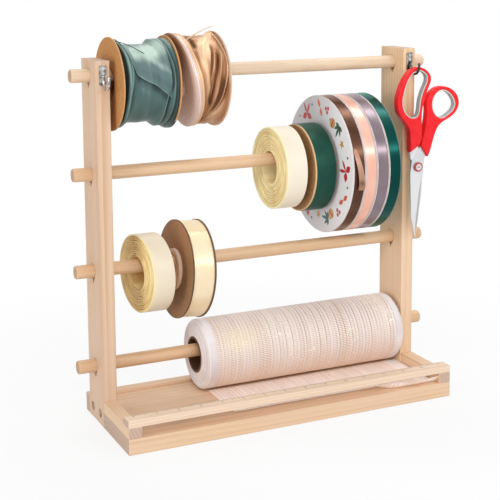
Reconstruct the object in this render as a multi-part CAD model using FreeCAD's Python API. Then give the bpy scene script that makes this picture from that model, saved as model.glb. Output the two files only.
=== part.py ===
"""Ribbon spool dispenser: a wooden rack with four pull-out rods, loaded with ribbon spools,
a deco mesh roll that feeds through a slot under a ruler strip, and scissors on a hook.

X runs left to right, Y front to back, Z up, in millimetres.
The origin is the centre of the rack's footprint, on the surface that it stands on.
"""
import FreeCAD, Part
import math
import os

os.makedirs("parts", exist_ok=True)

# ---------------------------------------------------------------- rack boards
rack_width = 400.0            # outer face to outer face of the uprights
upright_thickness = 16.0      # along X
upright_depth = 51.0          # along Y
board_front = 84.0            # base board in front of the uprights
board_thickness = 17.5
side_rail_width = 15.0
side_rail_height = 12.0       # this is also the height of the web slot
back_rail_thickness = 13.5
back_rail_height = 21.0
ruler_depth = 16.0
ruler_thickness = 8.0
edge_round = 0.8              # sanded edge on every board

# ---------------------------------------------------------------- rods
rod_diameter = 15.0
rod_left_reach = 21.0         # rod end beyond the left upright
rod_right_reach = 25.0
rod_end_round = 1.5
rod_fit = 0.25                # radial clearance of a rod in its hole
notch_depth = 6.8             # V below each rod hole
rod_count = 4
rod_top_margin = 17.3         # upright above the top rod's axis
spool_room = 5.8              # between the largest spool and the rod below it
roll_axis_drop = 5.5          # axis of the mesh roll below its rod

# ---------------------------------------------------------------- screws
screw_shank_radius = 2.0
screw_head_radius = 4.0
screw_head_height = 2.6
screw_head_dome = 1.2
screw_recess_length = 4.4     # cross recess in the head
screw_recess_width = 1.0
screw_recess_depth = 1.6
screw_tip_length = 3.2
screw_tip_radius = 0.4
upright_screw_height = 13.0
upright_screw_spacing = 26.5
upright_screw_length = 33.0
counterbore_radius = 5.2
counterbore_depth = 7.0
back_screw_length = 30.0
back_screw_spacing = 80.0
back_screw_count = 4

# ---------------------------------------------------------------- tool hooks
plate_width = 8.0
plate_height = 21.0
plate_thickness = 1.2
plate_drop = 5.0              # plate's top edge below the top of the upright
plate_corner = 1.5
hook_wire = 2.8
hook_radius = 9.6             # bend of the wire's centre line
hook_tip_rise = 3.0
hook_screw_gap = 0.4          # wire's top end below the lower screw's head
hook_bend_drop = 20.5         # centre of the bend below the top of the upright
plate_screw_drop = 3.4
plate_screw_spacing = 5.0
plate_screw_shank = 0.9
plate_screw_head = 1.7
plate_screw_dome = 0.7
plate_screw_length = 11.0

# ---------------------------------------------------------------- clearances
seat_gap = 0.3                # a hanging ring or loop above what carries it
stack_gap = 0.4               # between spools side by side

# ---------------------------------------------------------------- spools
# Each gap is to the next spool towards the nearer upright, or to that upright's inner face.
crest_share = 0.16            # of a soft drum's width, at each edge
slope_share = 0.16            # of its width, from each crest down to the waist
card_thickness = 1.6          # kraft board flange
core_wall = 2.2               # kraft board tube

organza_gap = 7.0             # to the left upright
organza_width = 66.0
organza_flange_radius = 51.3
organza_bore = 18.3
organza_crest_drop = 2.6      # ribbon's crests below the flanges' edge
organza_waist_drop = 8.0

champagne_gap = 14.0          # to the organza spool
champagne_width = 43.4        # along its tube
champagne_lean = 10.0         # degrees that its left flange leans out at the top
champagne_lean_fit = 0.1      # leaning flange's clearance on the tube and to the ribbon
champagne_flange_radius = 53.6
champagne_bore = 17.5
champagne_crest_drop = 1.0
champagne_waist_drop = 8.6

ivory_gap = 7.6               # to the green spool
ivory_width = 27.6
ivory_radius = 48.4
ivory_bore = 18.0

green_gap = 5.1               # to the printed card
green_width = 26.7
green_flange_radius = 51.4
green_ribbon_drop = 0.6       # ribbon below the flanges' edge
green_bore = 20.0

satin_gap = 37.2              # to the right upright
satin_width = 15.4            # spool for 12.7 mm ribbon
satin_flange_radius = 82.0
satin_flange_thickness = 0.9
satin_ribbon_drop = 1.4
satin_bore = 18.0
satin_hub_wall = 5.0
satin_names = ("copper", "peach", "mauve", "teal")
label_thickness = 0.6
label_margin = 0.6

cream_gap = 33.5              # to the left upright
cream_width = 27.0
cream_radius = 44.6
cream_bore = 17.0

kraft_gap = 16.0              # to the cream coil
kraft_width = 27.8
kraft_lean = 4.2              # degrees that the spool leans on its rod, top to the right
kraft_flange_radius = 56.2
kraft_ribbon_drop = 1.6
kraft_bore = 18.8
kraft_core_wall = 4.6
kraft_core_proud = 4.0        # core tube beyond the left flange

# ---------------------------------------------------------------- deco mesh
mesh_gap = 2.5                # to the right upright
mesh_width = 262.0            # 254 mm mesh, its turns a little out of line
mesh_radius = 41.0
mesh_core_bore = 18.6
mesh_core_wall = 2.4
mesh_core_proud = 0.5         # core tube beyond the roll's left end
web_thickness = 0.5
web_width = 254.0             # it reaches to the right upright
web_past_slot = 1.0           # web in front of the base board

# ---------------------------------------------------------------- copper ribbon's loose end
tail_width = 12.0
tail_thickness = 0.4
tail_standoff = 2.4           # tail outside the flange rims
tail_start_angle = 12.0       # degrees above the front of the spool
tail_end_angle = -21.0

# ---------------------------------------------------------------- scissors
handle_thickness = 10.0
handle_round = 1.2
liner_wall = 1.2
blade_thickness = 1.8
blade_gap = 0.2               # between the two blades
pivot_offset = 5.0            # pivot to the right of the hook's wire
pivot_shaft_radius = 2.5
pivot_running_fit = 0.05
pivot_head_radius = 3.9
pivot_head_height = 2.2
pivot_ring_radius = 5.8
pivot_ring_height = 1.6
pivot_nut_radius = 4.6
pivot_nut_height = 2.4
washer_gap = 0.1

# ---------------------------------------------------------------- places worked out from the sizes
base_depth = board_front + upright_depth + back_rail_thickness
left_face = -rack_width / 2
right_face = rack_width / 2
left_inner = left_face + upright_thickness
right_inner = right_face - upright_thickness
front_face = -base_depth / 2
rack_back = base_depth / 2
upright_front = front_face + board_front
upright_back = upright_front + upright_depth
rod_y = upright_front + upright_depth / 2
back_screw_places = [(i - (back_screw_count - 1) / 2) * back_screw_spacing for i in range(back_screw_count)]
rod_radius = rod_diameter / 2
rod_start = left_face - rod_left_reach
rod_length = rod_left_reach + rack_width + rod_right_reach
rail_top = board_thickness + side_rail_height
mesh_roll_z = board_thickness + web_thickness + seat_gap + mesh_radius
satin_ribbon_radius = satin_flange_radius - satin_ribbon_drop
tail_inner_radius = satin_flange_radius + tail_standoff
satin_reach = tail_inner_radius + tail_thickness + satin_bore - rod_radius - seat_gap
rod_pitch = satin_reach + rod_radius + spool_room
rod_heights = [mesh_roll_z + roll_axis_drop + rod_pitch * i for i in range(rod_count)]
bottom_rod_z, lower_rod_z, upper_rod_z, top_rod_z = rod_heights
rack_height = top_rod_z + rod_top_margin
organza_x = left_inner + organza_gap
champagne_x = organza_x + organza_width + champagne_gap
cream_x = left_inner + cream_gap
kraft_x = cream_x + cream_width + kraft_gap + kraft_core_proud
satin_pitch = satin_width + stack_gap
satin_x = right_inner - satin_gap - (len(satin_names) - 1) * satin_pitch - satin_width
green_x = satin_x - label_thickness - green_gap - green_width
ivory_x = green_x - ivory_gap - ivory_width
mesh_x = right_inner - mesh_gap - mesh_width
hook_z = rack_height - hook_bend_drop
upper_plate_screw_z = rack_height - plate_drop - plate_screw_drop
plate_screw_heights = (upper_plate_screw_z, upper_plate_screw_z - plate_screw_spacing)
hook_top_z = plate_screw_heights[-1] - plate_screw_head - hook_screw_gap - hook_wire / 2
hook_back_y = upright_front - plate_thickness - hook_wire / 2
hook_y = hook_back_y - hook_radius
right_upright_x = right_face - upright_thickness / 2
left_upright_x = left_face + upright_thickness / 2


def vec(x, y, z):
    return FreeCAD.Vector(x, y, z)


def block(x0, x1, y0, y1, z0, z1):
    return Part.makeBox(x1 - x0, y1 - y0, z1 - z0, vec(x0, y0, z0))


def board(x0, x1, y0, y1, z0, z1):
    """A sawn board with sanded edges."""
    solid = block(x0, x1, y0, y1, z0, z1)
    return solid.makeFillet(edge_round, solid.Edges)


def rod_along_x(x0, x1, y, z, radius):
    return Part.makeCylinder(radius, x1 - x0, vec(x0, y, z), vec(1, 0, 0))


def tube_along_x(x0, x1, y, z, outer, inner):
    return rod_along_x(x0, x1, y, z, outer).cut(rod_along_x(x0, x1, y, z, inner))


def rod_along_y(y0, y1, x, z, radius):
    return Part.makeCylinder(radius, y1 - y0, vec(x, y0, z), vec(0, 1, 0))


def turned(profile, y, z):
    """A solid of revolution about an axis along X, from (x, radius) corners."""
    points = [vec(x, y, z + r) for x, r in profile]
    wire = Part.makePolygon(points + points[:1])
    return Part.Face(wire).revolve(vec(0, y, z), vec(1, 0, 0), 360)


def save(name, shape):
    shape.exportStep("parts/" + name + ".step")


# ---------------------------------------------------------------- screws
def wood_screw(length):
    """A pan head screw along +X, with its head's underside at the origin."""
    top = -screw_head_height
    head = rod_along_x(top, 0, 0, 0, screw_head_radius)
    head = head.makeFillet(screw_head_dome, [head.Edges[2]])
    half_length = screw_recess_length / 2
    half_width = screw_recess_width / 2
    for half_y, half_z in ((half_length, half_width), (half_width, half_length)):
        head = head.cut(block(top, top + screw_recess_depth, -half_y, half_y, -half_z, half_z))
    tip_start = length - screw_tip_length
    shank = rod_along_x(0, tip_start, 0, 0, screw_shank_radius)
    point = Part.makeCone(screw_shank_radius, screw_tip_radius, screw_tip_length,
                          vec(tip_start, 0, 0), vec(1, 0, 0))
    return head.fuse([shank, point]).removeSplitter()


def upright_screws():
    """Two screws at the foot of each upright, sunk in counterbores, into the ends of the base board."""
    screws = []
    for side in (-1, 1):
        for step in (-0.5, 0.5):
            screw = wood_screw(upright_screw_length)
            if side > 0:
                screw.rotate(vec(0, 0, 0), vec(0, 0, 1), 180)
            x = side * (rack_width / 2 - counterbore_depth)
            screw.translate(vec(x, rod_y + step * upright_screw_spacing, upright_screw_height))
            screws.append(screw)
    return screws


def back_rail_screws():
    """Screws through the back rail, flush with its back, into the base board."""
    screws = []
    for x in back_screw_places:
        screw = wood_screw(back_screw_length)
        screw.rotate(vec(0, 0, 0), vec(0, 0, 1), -90)
        screw.translate(vec(x, rack_back - screw_head_height, board_thickness / 2))
        screws.append(screw)
    return screws


# ---------------------------------------------------------------- rack
def rod_hole(x0, x1, z):
    """A round hole that runs down into a V, which the rod's underside just clears."""
    radius = rod_radius + rod_fit
    apex = radius + notch_depth
    angle = math.acos(radius / apex)
    side_y = radius * math.sin(angle)
    side_z = z - radius * math.cos(angle)
    right = vec(x0, rod_y + side_y, side_z)
    left = vec(x0, rod_y - side_y, side_z)
    top = vec(x0, rod_y, z + radius)
    bottom = vec(x0, rod_y, z - apex)
    arc = Part.Arc(right, top, left).toShape()
    wire = Part.Wire([arc, Part.makeLine(left, bottom), Part.makeLine(bottom, right)])
    return Part.Face(wire).extrude(vec(x1 - x0, 0, 0))


def upright(side, screws):
    inner = side * (rack_width / 2 - upright_thickness)
    outer = side * rack_width / 2
    x0, x1 = min(inner, outer), max(inner, outer)
    solid = board(x0, x1, upright_front, upright_back, 0, rack_height)
    for z in rod_heights:
        solid = solid.cut(rod_hole(x0, x1, z))
    sunk = side * (rack_width / 2 - counterbore_depth)
    for step in (-0.5, 0.5):
        y = rod_y + step * upright_screw_spacing
        bore = rod_along_x(min(sunk, outer), max(sunk, outer), y, upright_screw_height, counterbore_radius)
        solid = solid.cut(bore)
    return solid.cut(screws)


def base_board(screws):
    solid = board(left_face, right_face, front_face, upright_back, 0, board_thickness)
    for side in (-1, 1):
        inner = side * (rack_width / 2 - upright_thickness)
        outer = side * rack_width / 2
        notch = block(min(inner, outer), max(inner, outer), upright_front, upright_back, 0, board_thickness)
        solid = solid.cut(notch)
    return solid.cut(screws)


def back_rail(screws):
    solid = board(left_face, right_face, upright_back, rack_back, 0, back_rail_height)
    for x in back_screw_places:
        seat = rack_back - screw_head_height
        solid = solid.cut(rod_along_y(seat, rack_back, x, board_thickness / 2, screw_head_radius))
    return solid.cut(screws)


def side_rail(side):
    inner = side * (rack_width / 2 - side_rail_width)
    outer = side * rack_width / 2
    return board(min(inner, outer), max(inner, outer), front_face, upright_front, board_thickness, rail_top)


def ruler_strip():
    back = front_face + ruler_depth
    return board(left_face, right_face, front_face, back, rail_top, rail_top + ruler_thickness)


def rod(z):
    solid = rod_along_x(rod_start, rod_start + rod_length, rod_y, z, rod_radius)
    ends = [edge for edge in solid.Edges if edge.Length < rod_length]
    return solid.makeFillet(rod_end_round, ends)


# ---------------------------------------------------------------- tool hooks
def hook_plate(x, screws):
    top = rack_height - plate_drop
    plate = block(x - plate_width / 2, x + plate_width / 2,
                  upright_front - plate_thickness, upright_front, top - plate_height, top)
    corners = [edge for edge in plate.Edges if edge.BoundBox.YLength > plate_thickness / 2]
    return plate.makeFillet(plate_corner, corners).cut(screws)


def hook_wire_bend(x):
    """Round wire down the plate, round a half circle to the front and up to a rounded tip."""
    start = vec(x, hook_back_y, hook_top_z)
    back = vec(x, hook_back_y, hook_z)
    low = vec(x, hook_y, hook_z - hook_radius)
    front = vec(x, hook_y - hook_radius, hook_z)
    tip = vec(x, hook_y - hook_radius, hook_z + hook_tip_rise)
    bend = Part.Arc(back, low, front).toShape()
    path = Part.Wire([Part.makeLine(start, back), bend, Part.makeLine(front, tip)])
    ring = Part.Wire([Part.makeCircle(hook_wire / 2, start, vec(0, 0, 1))])
    wire = path.makePipeShell([ring], True, True)
    return wire.fuse([Part.makeSphere(hook_wire / 2, tip), Part.makeSphere(hook_wire / 2, start)])


def plate_screws(x):
    screws = []
    face = upright_front - plate_thickness
    for z in plate_screw_heights:
        head = rod_along_y(face - plate_screw_dome, face, x, z, plate_screw_head)
        head = head.makeFillet(plate_screw_dome * 0.9, [head.Edges[0]])
        shank = rod_along_y(face, face + plate_screw_length, x, z, plate_screw_shank)
        screws.append(head.fuse(shank).removeSplitter())
    return screws


# ---------------------------------------------------------------- spools
def hung_z(rod_z, bore):
    """Height of the axis of a ring of this bore that hangs on a rod."""
    return rod_z + rod_radius + seat_gap - bore


def crowned_drum(x0, x1, hole, rim, crest_drop, waist_drop, z):
    """Ribbon wound on a core, high at both edges and pulled in between, below the flanges' rim."""
    crest = rim - crest_drop
    waist = rim - waist_drop
    left_crest = x0 + crest_share * (x1 - x0)
    left_waist = left_crest + slope_share * (x1 - x0)
    right_crest = x1 - crest_share * (x1 - x0)
    right_waist = right_crest - slope_share * (x1 - x0)
    profile = [(x0, hole), (x0, crest), (left_crest, crest), (left_waist, waist),
               (right_waist, waist), (right_crest, crest), (x1, crest), (x1, hole)]
    return turned(profile, rod_y, z)


def leaned(shape, x, z, angle):
    """A piece leant over in the plane of the rods about a point on its axis, its top to the right."""
    shape.rotate(vec(x, rod_y, z), vec(0, 1, 0), angle)
    return shape


def leaning_z(rod_z, bore, width, angle):
    """Height of the middle of a spool that leans on its rod with its right end down."""
    lean = math.radians(angle)
    return hung_z(rod_z, bore * math.cos(lean)) + width / 2 * math.sin(lean)


def card_spool(name, x0, width, bore, flange_radius, rod_z, proud=0.0, wall=core_wall, lean=0.0):
    """A kraft tube with a kraft disc near each end. Gives the room for ribbon and the axis height."""
    x1 = x0 + width
    middle = x0 + width / 2
    z = leaning_z(rod_z, bore, width, lean)
    core_radius = bore + wall
    save(name + "_core", leaned(tube_along_x(x0 - proud, x1, rod_y, z, core_radius, bore), middle, z, lean))
    for side, start in (("left", x0), ("right", x1 - card_thickness)):
        disc = tube_along_x(start, start + card_thickness, rod_y, z, flange_radius, core_radius)
        save(name + "_" + side + "_flange", leaned(disc, middle, z, lean))
    return x0 + card_thickness, x1 - card_thickness, core_radius, z


def organza_spool():
    x0, x1, hole, z = card_spool("organza", organza_x, organza_width, organza_bore,
                                 organza_flange_radius, top_rod_z)
    drum = crowned_drum(x0, x1, hole, organza_flange_radius, organza_crest_drop, organza_waist_drop, z)
    save("organza_ribbon", drum)


def champagne_spool():
    """Its left flange has come loose and leans over, with the ribbon filling the room behind it."""
    x0, x1, hole, z = card_spool("champagne", champagne_x, champagne_width, champagne_bore,
                                 champagne_flange_radius, top_rod_z)
    lean = math.radians(champagne_lean)
    loose_hole = (hole + card_thickness * math.sin(lean)) / math.cos(lean) + champagne_lean_fit
    flange = tube_along_x(champagne_x, x0, rod_y, z, champagne_flange_radius, loose_hole)
    save("champagne_left_flange", leaned(flange, champagne_x, z, -champagne_lean))
    reach = champagne_flange_radius * math.sin(lean)
    drum = crowned_drum(x0 - reach, x1, hole, champagne_flange_radius, champagne_crest_drop, champagne_waist_drop, z)
    room = x0 + champagne_lean_fit
    beyond = rod_along_x(room - 3 * reach, room, rod_y, z, 2 * champagne_flange_radius)
    save("champagne_ribbon", drum.cut(leaned(beyond, champagne_x, z, -champagne_lean)))


def green_spool():
    x0, x1, hole, z = card_spool("green", green_x, green_width, green_bore,
                                 green_flange_radius, upper_rod_z)
    save("green_ribbon", tube_along_x(x0, x1, rod_y, z, green_flange_radius - green_ribbon_drop, hole))


def kraft_spool():
    x0, x1, hole, z = card_spool("kraft", kraft_x, kraft_width, kraft_bore, kraft_flange_radius,
                                 lower_rod_z, kraft_core_proud, kraft_core_wall, kraft_lean)
    drum = tube_along_x(x0, x1, rod_y, z, kraft_flange_radius - kraft_ribbon_drop, hole)
    save("kraft_ribbon", leaned(drum, kraft_x + kraft_width / 2, z, kraft_lean))


def coil(name, x0, width, radius, bore, rod_z):
    """Ribbon wound on itself with no core."""
    save(name, tube_along_x(x0, x0 + width, rod_y, hung_z(rod_z, bore), radius, bore))


def satin_spools():
    """Four narrow moulded spools side by side, the first with a printed card on its outer face."""
    z = hung_z(upper_rod_z, satin_bore)
    hub = satin_bore + satin_hub_wall
    wall = satin_flange_thickness
    for i, name in enumerate(satin_names):
        x0 = satin_x + i * satin_pitch
        x1 = x0 + satin_width
        left_side = [(x0, satin_bore), (x0, satin_flange_radius), (x0 + wall, satin_flange_radius)]
        groove = [(x0 + wall, hub), (x1 - wall, hub)]
        right_side = [(x1 - wall, satin_flange_radius), (x1, satin_flange_radius), (x1, satin_bore)]
        profile = left_side + groove + right_side
        save(name + "_spool", turned(profile, rod_y, z))
        save(name + "_ribbon", tube_along_x(x0 + wall, x1 - wall, rod_y, z, satin_ribbon_radius, hub))
    card_radius = satin_flange_radius - label_margin
    card = tube_along_x(satin_x - label_thickness, satin_x, rod_y, z, card_radius, satin_bore)
    save("printed_card", card)


def copper_tail():
    """The copper ribbon's loose end: a curved strip that stands off the front of its spool."""
    z = hung_z(upper_rod_z, satin_bore)
    start = satin_x + (satin_width - tail_width) / 2
    end = start + tail_width
    outer = tail_inner_radius + tail_thickness
    ring = tube_along_x(start, end, rod_y, z, outer, tail_inner_radius)
    reach = outer * 2
    wedge_points = [vec(start, rod_y, z)]
    for angle in (tail_start_angle, tail_end_angle):
        turn = math.radians(angle)
        wedge_points.append(vec(start, rod_y - reach * math.cos(turn), z + reach * math.sin(turn)))
    wedge = Part.Face(Part.makePolygon(wedge_points + wedge_points[:1])).extrude(vec(tail_width, 0, 0))
    lift = math.radians(tail_start_angle)
    stem_z = z + satin_ribbon_radius * math.sin(lift)
    stem_front = rod_y - outer * math.cos(lift)
    stem_back = rod_y - satin_ribbon_radius * math.cos(lift) + tail_thickness
    stem = block(start, end, stem_front, stem_back, stem_z, stem_z + tail_thickness)
    drum = rod_along_x(start, end, rod_y, z, satin_ribbon_radius)
    return ring.common(wedge).fuse(stem).cut(drum).removeSplitter()


# ---------------------------------------------------------------- deco mesh
def mesh_roll():
    x1 = mesh_x + mesh_width
    core_radius = mesh_core_bore + mesh_core_wall
    x0 = mesh_x - mesh_core_proud
    save("mesh_core", tube_along_x(x0, x1, rod_y, mesh_roll_z, core_radius, mesh_core_bore))
    save("mesh_roll", tube_along_x(mesh_x, x1, rod_y, mesh_roll_z, mesh_radius, core_radius))


def mesh_web():
    """The loose end of the mesh, from under the roll, flat on the board and out through the slot."""
    x0 = right_inner - web_width
    return block(x0, right_inner, front_face - web_past_slot, rod_y,
                 board_thickness, board_thickness + web_thickness)


# ---------------------------------------------------------------- scissors
# Outlines are (x, z) from the pivot, with the scissors closed and the points down.
left_handle_side = ((-12.3, 18.5), (-12.8, 32), (-15, 47.5), (-23.3, 58.2), (-29.1, 67), (-31, 77),
                    (-30.2, 87), (-26.4, 98), (-20, 109.5), (-10.6, 118.3), (-1.5, 121), (8, 117.6),
                    (14.4, 111.5), (16, 105.5), (14, 99), (10.6, 91.5), (8.4, 82))
left_handle_shank = ((8.4, 82), (4.6, 72), (3.4, 58), (2.3, 31), (0.3, 26.6))
left_loop = ((0.2, 117), (7.5, 114), (11.1, 109), (10.8, 102.5), (7.6, 95.5), (4.2, 87.5), (1.9, 79),
             (0.4, 67.5), (-2.6, 61.2), (-10, 59.6), (-17.9, 64), (-22.6, 71.5), (-24, 80.5),
             (-22.2, 91), (-17.6, 103.8), (-11.8, 112.2), (-6, 116.2))
right_handle_side = ((12.2, 11.3), (19.3, 30), (23.3, 41.3), (28, 49), (35.5, 54), (45.3, 58.8), (53, 65.4),
                     (56.4, 74), (55.3, 81.5), (50.6, 88.6), (42.5, 94), (32.4, 96.4), (23.2, 94.8),
                     (15.4, 89), (9.6, 79))
right_handle_shank = ((9.6, 79), (10.5, 67), (9.3, 55), (6.8, 41), (3.9, 31), (2.9, 25.5))
right_loop = ((32.4, 92.2), (40.6, 89.8), (48.2, 82.4), (51.4, 74.4), (49, 67.2), (41.4, 61), (32.4, 57.4),
              (25.6, 59.4), (20, 65.6), (17.9, 74), (19.2, 82.4), (24.6, 89.4))
rear_blade_outline = ((-9, 36), (-1.6, 34), (3, 14), (9.6, 5), (8, -14), (6.8, -33), (2.2, -68), (-2.2, -86),
                      (-4.4, -68), (-7, -33), (-7.6, -14), (-8.8, -4), (-8.6, 6), (-11, 22))
front_blade_outline = ((5, 36), (12, 34), (12.4, 22), (8.2, 6), (5, -14), (4.2, -33), (0, -68), (-2.6, -87),
                       (-8.2, -64), (-9.8, -33), (-10.6, -7), (-8.4, 9), (-2.2, 19), (1.2, 22.4), (3.6, 25))

scissors_x = right_upright_x + pivot_offset
scissors_y = hook_y
hook_inside_radius = hook_radius - hook_wire / 2
hook_seat_z = hook_z - math.sqrt(hook_inside_radius ** 2 - (handle_thickness / 2) ** 2)
loop_top = max(z for x, z in left_loop)
scissors_z = hook_seat_z + seat_gap + liner_wall - loop_top


def placed(outline):
    return [vec(scissors_x + x, scissors_y - handle_thickness / 2, scissors_z + z) for x, z in outline]


def curve_through(outline, closed=False):
    curve = Part.BSplineCurve()
    curve.interpolate(Points=placed(outline), PeriodicFlag=closed)
    return curve.toShape()


def handle(side, shank, loop):
    """A moulded handle: one long outside curve, the shank's inside curve, and the finger hole."""
    tip = Part.makeLine(placed(shank)[-1], placed(side)[0])
    outline = Part.Wire([curve_through(side), curve_through(shank), tip])
    solid = Part.Face(outline).extrude(vec(0, handle_thickness, 0))
    hole = Part.Face(Part.Wire([curve_through(loop, True)])).extrude(vec(0, handle_thickness, 0))
    solid = solid.cut(hole)
    rims = [edge for edge in solid.Edges if edge.BoundBox.YLength < handle_round]
    return solid.makeFillet(handle_round, rims)


def inset(outline, amount):
    """A clockwise outline moved inwards, square to the line between each point's neighbours."""
    moved = []
    for before, (x, z), after in zip(outline[-1:] + outline[:-1], outline, outline[1:] + outline[:1]):
        dx = after[0] - before[0]
        dz = after[1] - before[1]
        share = amount / math.hypot(dx, dz)
        moved.append((x + share * dz, z - share * dx))
    return moved


def loop_liner(loop):
    """A soft lining inside a finger hole, as deep as the flat of the handle's inner wall."""
    depth = vec(0, handle_thickness - 2 * handle_round, 0)
    outer = Part.Face(Part.Wire([curve_through(loop, True)]))
    inner = Part.Face(Part.Wire([curve_through(inset(loop, liner_wall), True)]))
    solid = outer.extrude(depth).cut(inner.extrude(depth))
    solid.translate(vec(0, handle_round, 0))
    return solid


def blade(outline, y0, bore_radius):
    points = placed(outline)
    flat = Part.Face(Part.makePolygon(points + points[:1])).extrude(vec(0, blade_thickness, 0))
    flat.translate(vec(0, y0 - points[0].y, 0))
    bore = rod_along_y(y0, y0 + blade_thickness, scissors_x, scissors_z, bore_radius)
    return flat.cut(bore)


def pivot_pieces(front_y, back_y):
    """The pivot screw with its nut behind the rear blade, and the ring round its head."""
    seat = front_y - washer_gap
    shaft = rod_along_y(seat, back_y + pivot_nut_height, scissors_x, scissors_z, pivot_shaft_radius)
    head = rod_along_y(seat - pivot_head_height, seat, scissors_x, scissors_z, pivot_head_radius)
    nut = rod_along_y(back_y, back_y + pivot_nut_height, scissors_x, scissors_z, pivot_nut_radius)
    ring = rod_along_y(seat - pivot_ring_height, seat, scissors_x, scissors_z, pivot_ring_radius)
    ring = ring.cut(rod_along_y(seat - pivot_ring_height, seat, scissors_x, scissors_z, pivot_head_radius))
    return shaft.fuse([head, nut]).removeSplitter(), ring


def scissors():
    front_y = scissors_y - blade_gap / 2 - blade_thickness
    rear_y = scissors_y + blade_gap / 2
    front_blade = blade(front_blade_outline, front_y, pivot_shaft_radius + pivot_running_fit)
    rear_blade = blade(rear_blade_outline, rear_y, pivot_shaft_radius)
    left_handle = handle(left_handle_side, left_handle_shank, left_loop).cut(rear_blade)
    right_handle = handle(right_handle_side, right_handle_shank, right_loop).cut(front_blade)
    pivot_screw, pivot_ring = pivot_pieces(front_y, rear_y + blade_thickness)
    save("scissors_front_blade", front_blade)
    save("scissors_rear_blade", rear_blade)
    save("scissors_left_handle", left_handle)
    save("scissors_right_handle", right_handle)
    save("scissors_left_liner", loop_liner(left_loop))
    save("scissors_right_liner", loop_liner(right_loop))
    save("scissors_pivot_screw", pivot_screw)
    save("scissors_pivot_ring", pivot_ring)


# ---------------------------------------------------------------- the whole dispenser
def rack():
    side_screws = upright_screws()
    rear_screws = back_rail_screws()
    save("base_board", base_board(side_screws + rear_screws))
    save("back_rail", back_rail(rear_screws))
    save("left_side_rail", side_rail(-1))
    save("right_side_rail", side_rail(1))
    save("ruler_strip", ruler_strip())
    save("upright_screws", Part.makeCompound(side_screws))
    save("back_rail_screws", Part.makeCompound(rear_screws))
    hook_screws = []
    for name, side, x in (("left", -1, left_upright_x), ("right", 1, right_upright_x)):
        screws = plate_screws(x)
        hook_screws += screws
        save(name + "_upright", upright(side, side_screws + screws))
        save(name + "_hook_plate", hook_plate(x, screws))
        save(name + "_hook", hook_wire_bend(x))
    save("hook_screws", Part.makeCompound(hook_screws))
    for name, z in zip(("bottom_rod", "lower_rod", "upper_rod", "top_rod"), rod_heights):
        save(name, rod(z))


rack()
organza_spool()
champagne_spool()
coil("ivory_coil", ivory_x, ivory_width, ivory_radius, ivory_bore, upper_rod_z)
green_spool()
satin_spools()
save("copper_tail", copper_tail())
coil("cream_coil", cream_x, cream_width, cream_radius, cream_bore, lower_rod_z)
kraft_spool()
mesh_roll()
save("mesh_web", mesh_web())
scissors()
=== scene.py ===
import math
import random

import bmesh
import bpy
from mathutils import Matrix, Vector, noise


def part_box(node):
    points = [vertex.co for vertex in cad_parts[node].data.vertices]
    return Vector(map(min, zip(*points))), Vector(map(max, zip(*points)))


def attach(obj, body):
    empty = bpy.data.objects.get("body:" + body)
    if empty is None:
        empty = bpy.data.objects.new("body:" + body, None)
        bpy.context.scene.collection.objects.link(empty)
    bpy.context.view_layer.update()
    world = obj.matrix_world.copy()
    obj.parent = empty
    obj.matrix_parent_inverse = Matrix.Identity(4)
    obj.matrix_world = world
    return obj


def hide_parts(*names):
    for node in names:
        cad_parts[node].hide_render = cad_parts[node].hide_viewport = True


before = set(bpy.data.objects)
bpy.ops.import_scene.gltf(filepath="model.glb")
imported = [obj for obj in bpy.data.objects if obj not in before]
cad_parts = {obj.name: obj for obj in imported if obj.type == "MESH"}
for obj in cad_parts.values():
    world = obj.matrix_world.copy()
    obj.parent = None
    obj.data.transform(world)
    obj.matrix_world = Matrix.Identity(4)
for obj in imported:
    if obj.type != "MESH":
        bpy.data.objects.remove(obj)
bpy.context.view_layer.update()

# ---- Camera
# It stands to the left of the dispenser and a little above the top rod. The long lens keeps
# the uprights nearly parallel.
camera_place = Vector((-0.5782, -1.18955, 0.50475))
camera_turn = math.radians(24.90)
camera_dip = math.radians(7.83)
camera_roll = math.radians(-0.40)
ahead = Vector((math.sin(camera_turn) * math.cos(camera_dip),
                math.cos(camera_turn) * math.cos(camera_dip), -math.sin(camera_dip)))
level = Vector((math.cos(camera_turn), -math.sin(camera_turn), 0))
upward = level.cross(ahead)
right_side = level * math.cos(camera_roll) + upward * math.sin(camera_roll)
top_side = upward * math.cos(camera_roll) - level * math.sin(camera_roll)
lens = bpy.data.cameras.new("camera")
lens.sensor_width = 36
lens.lens = 84.84
lens.shift_x = 0.0034
lens.shift_y = -0.242
camera = bpy.data.objects.new("camera", lens)
turned = Matrix((right_side, top_side, -ahead)).transposed().to_4x4()
camera.matrix_world = Matrix.Translation(camera_place) @ turned
bpy.context.collection.objects.link(camera)
bpy.context.scene.camera = camera
bpy.context.scene.view_settings.view_transform = "Standard"


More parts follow.
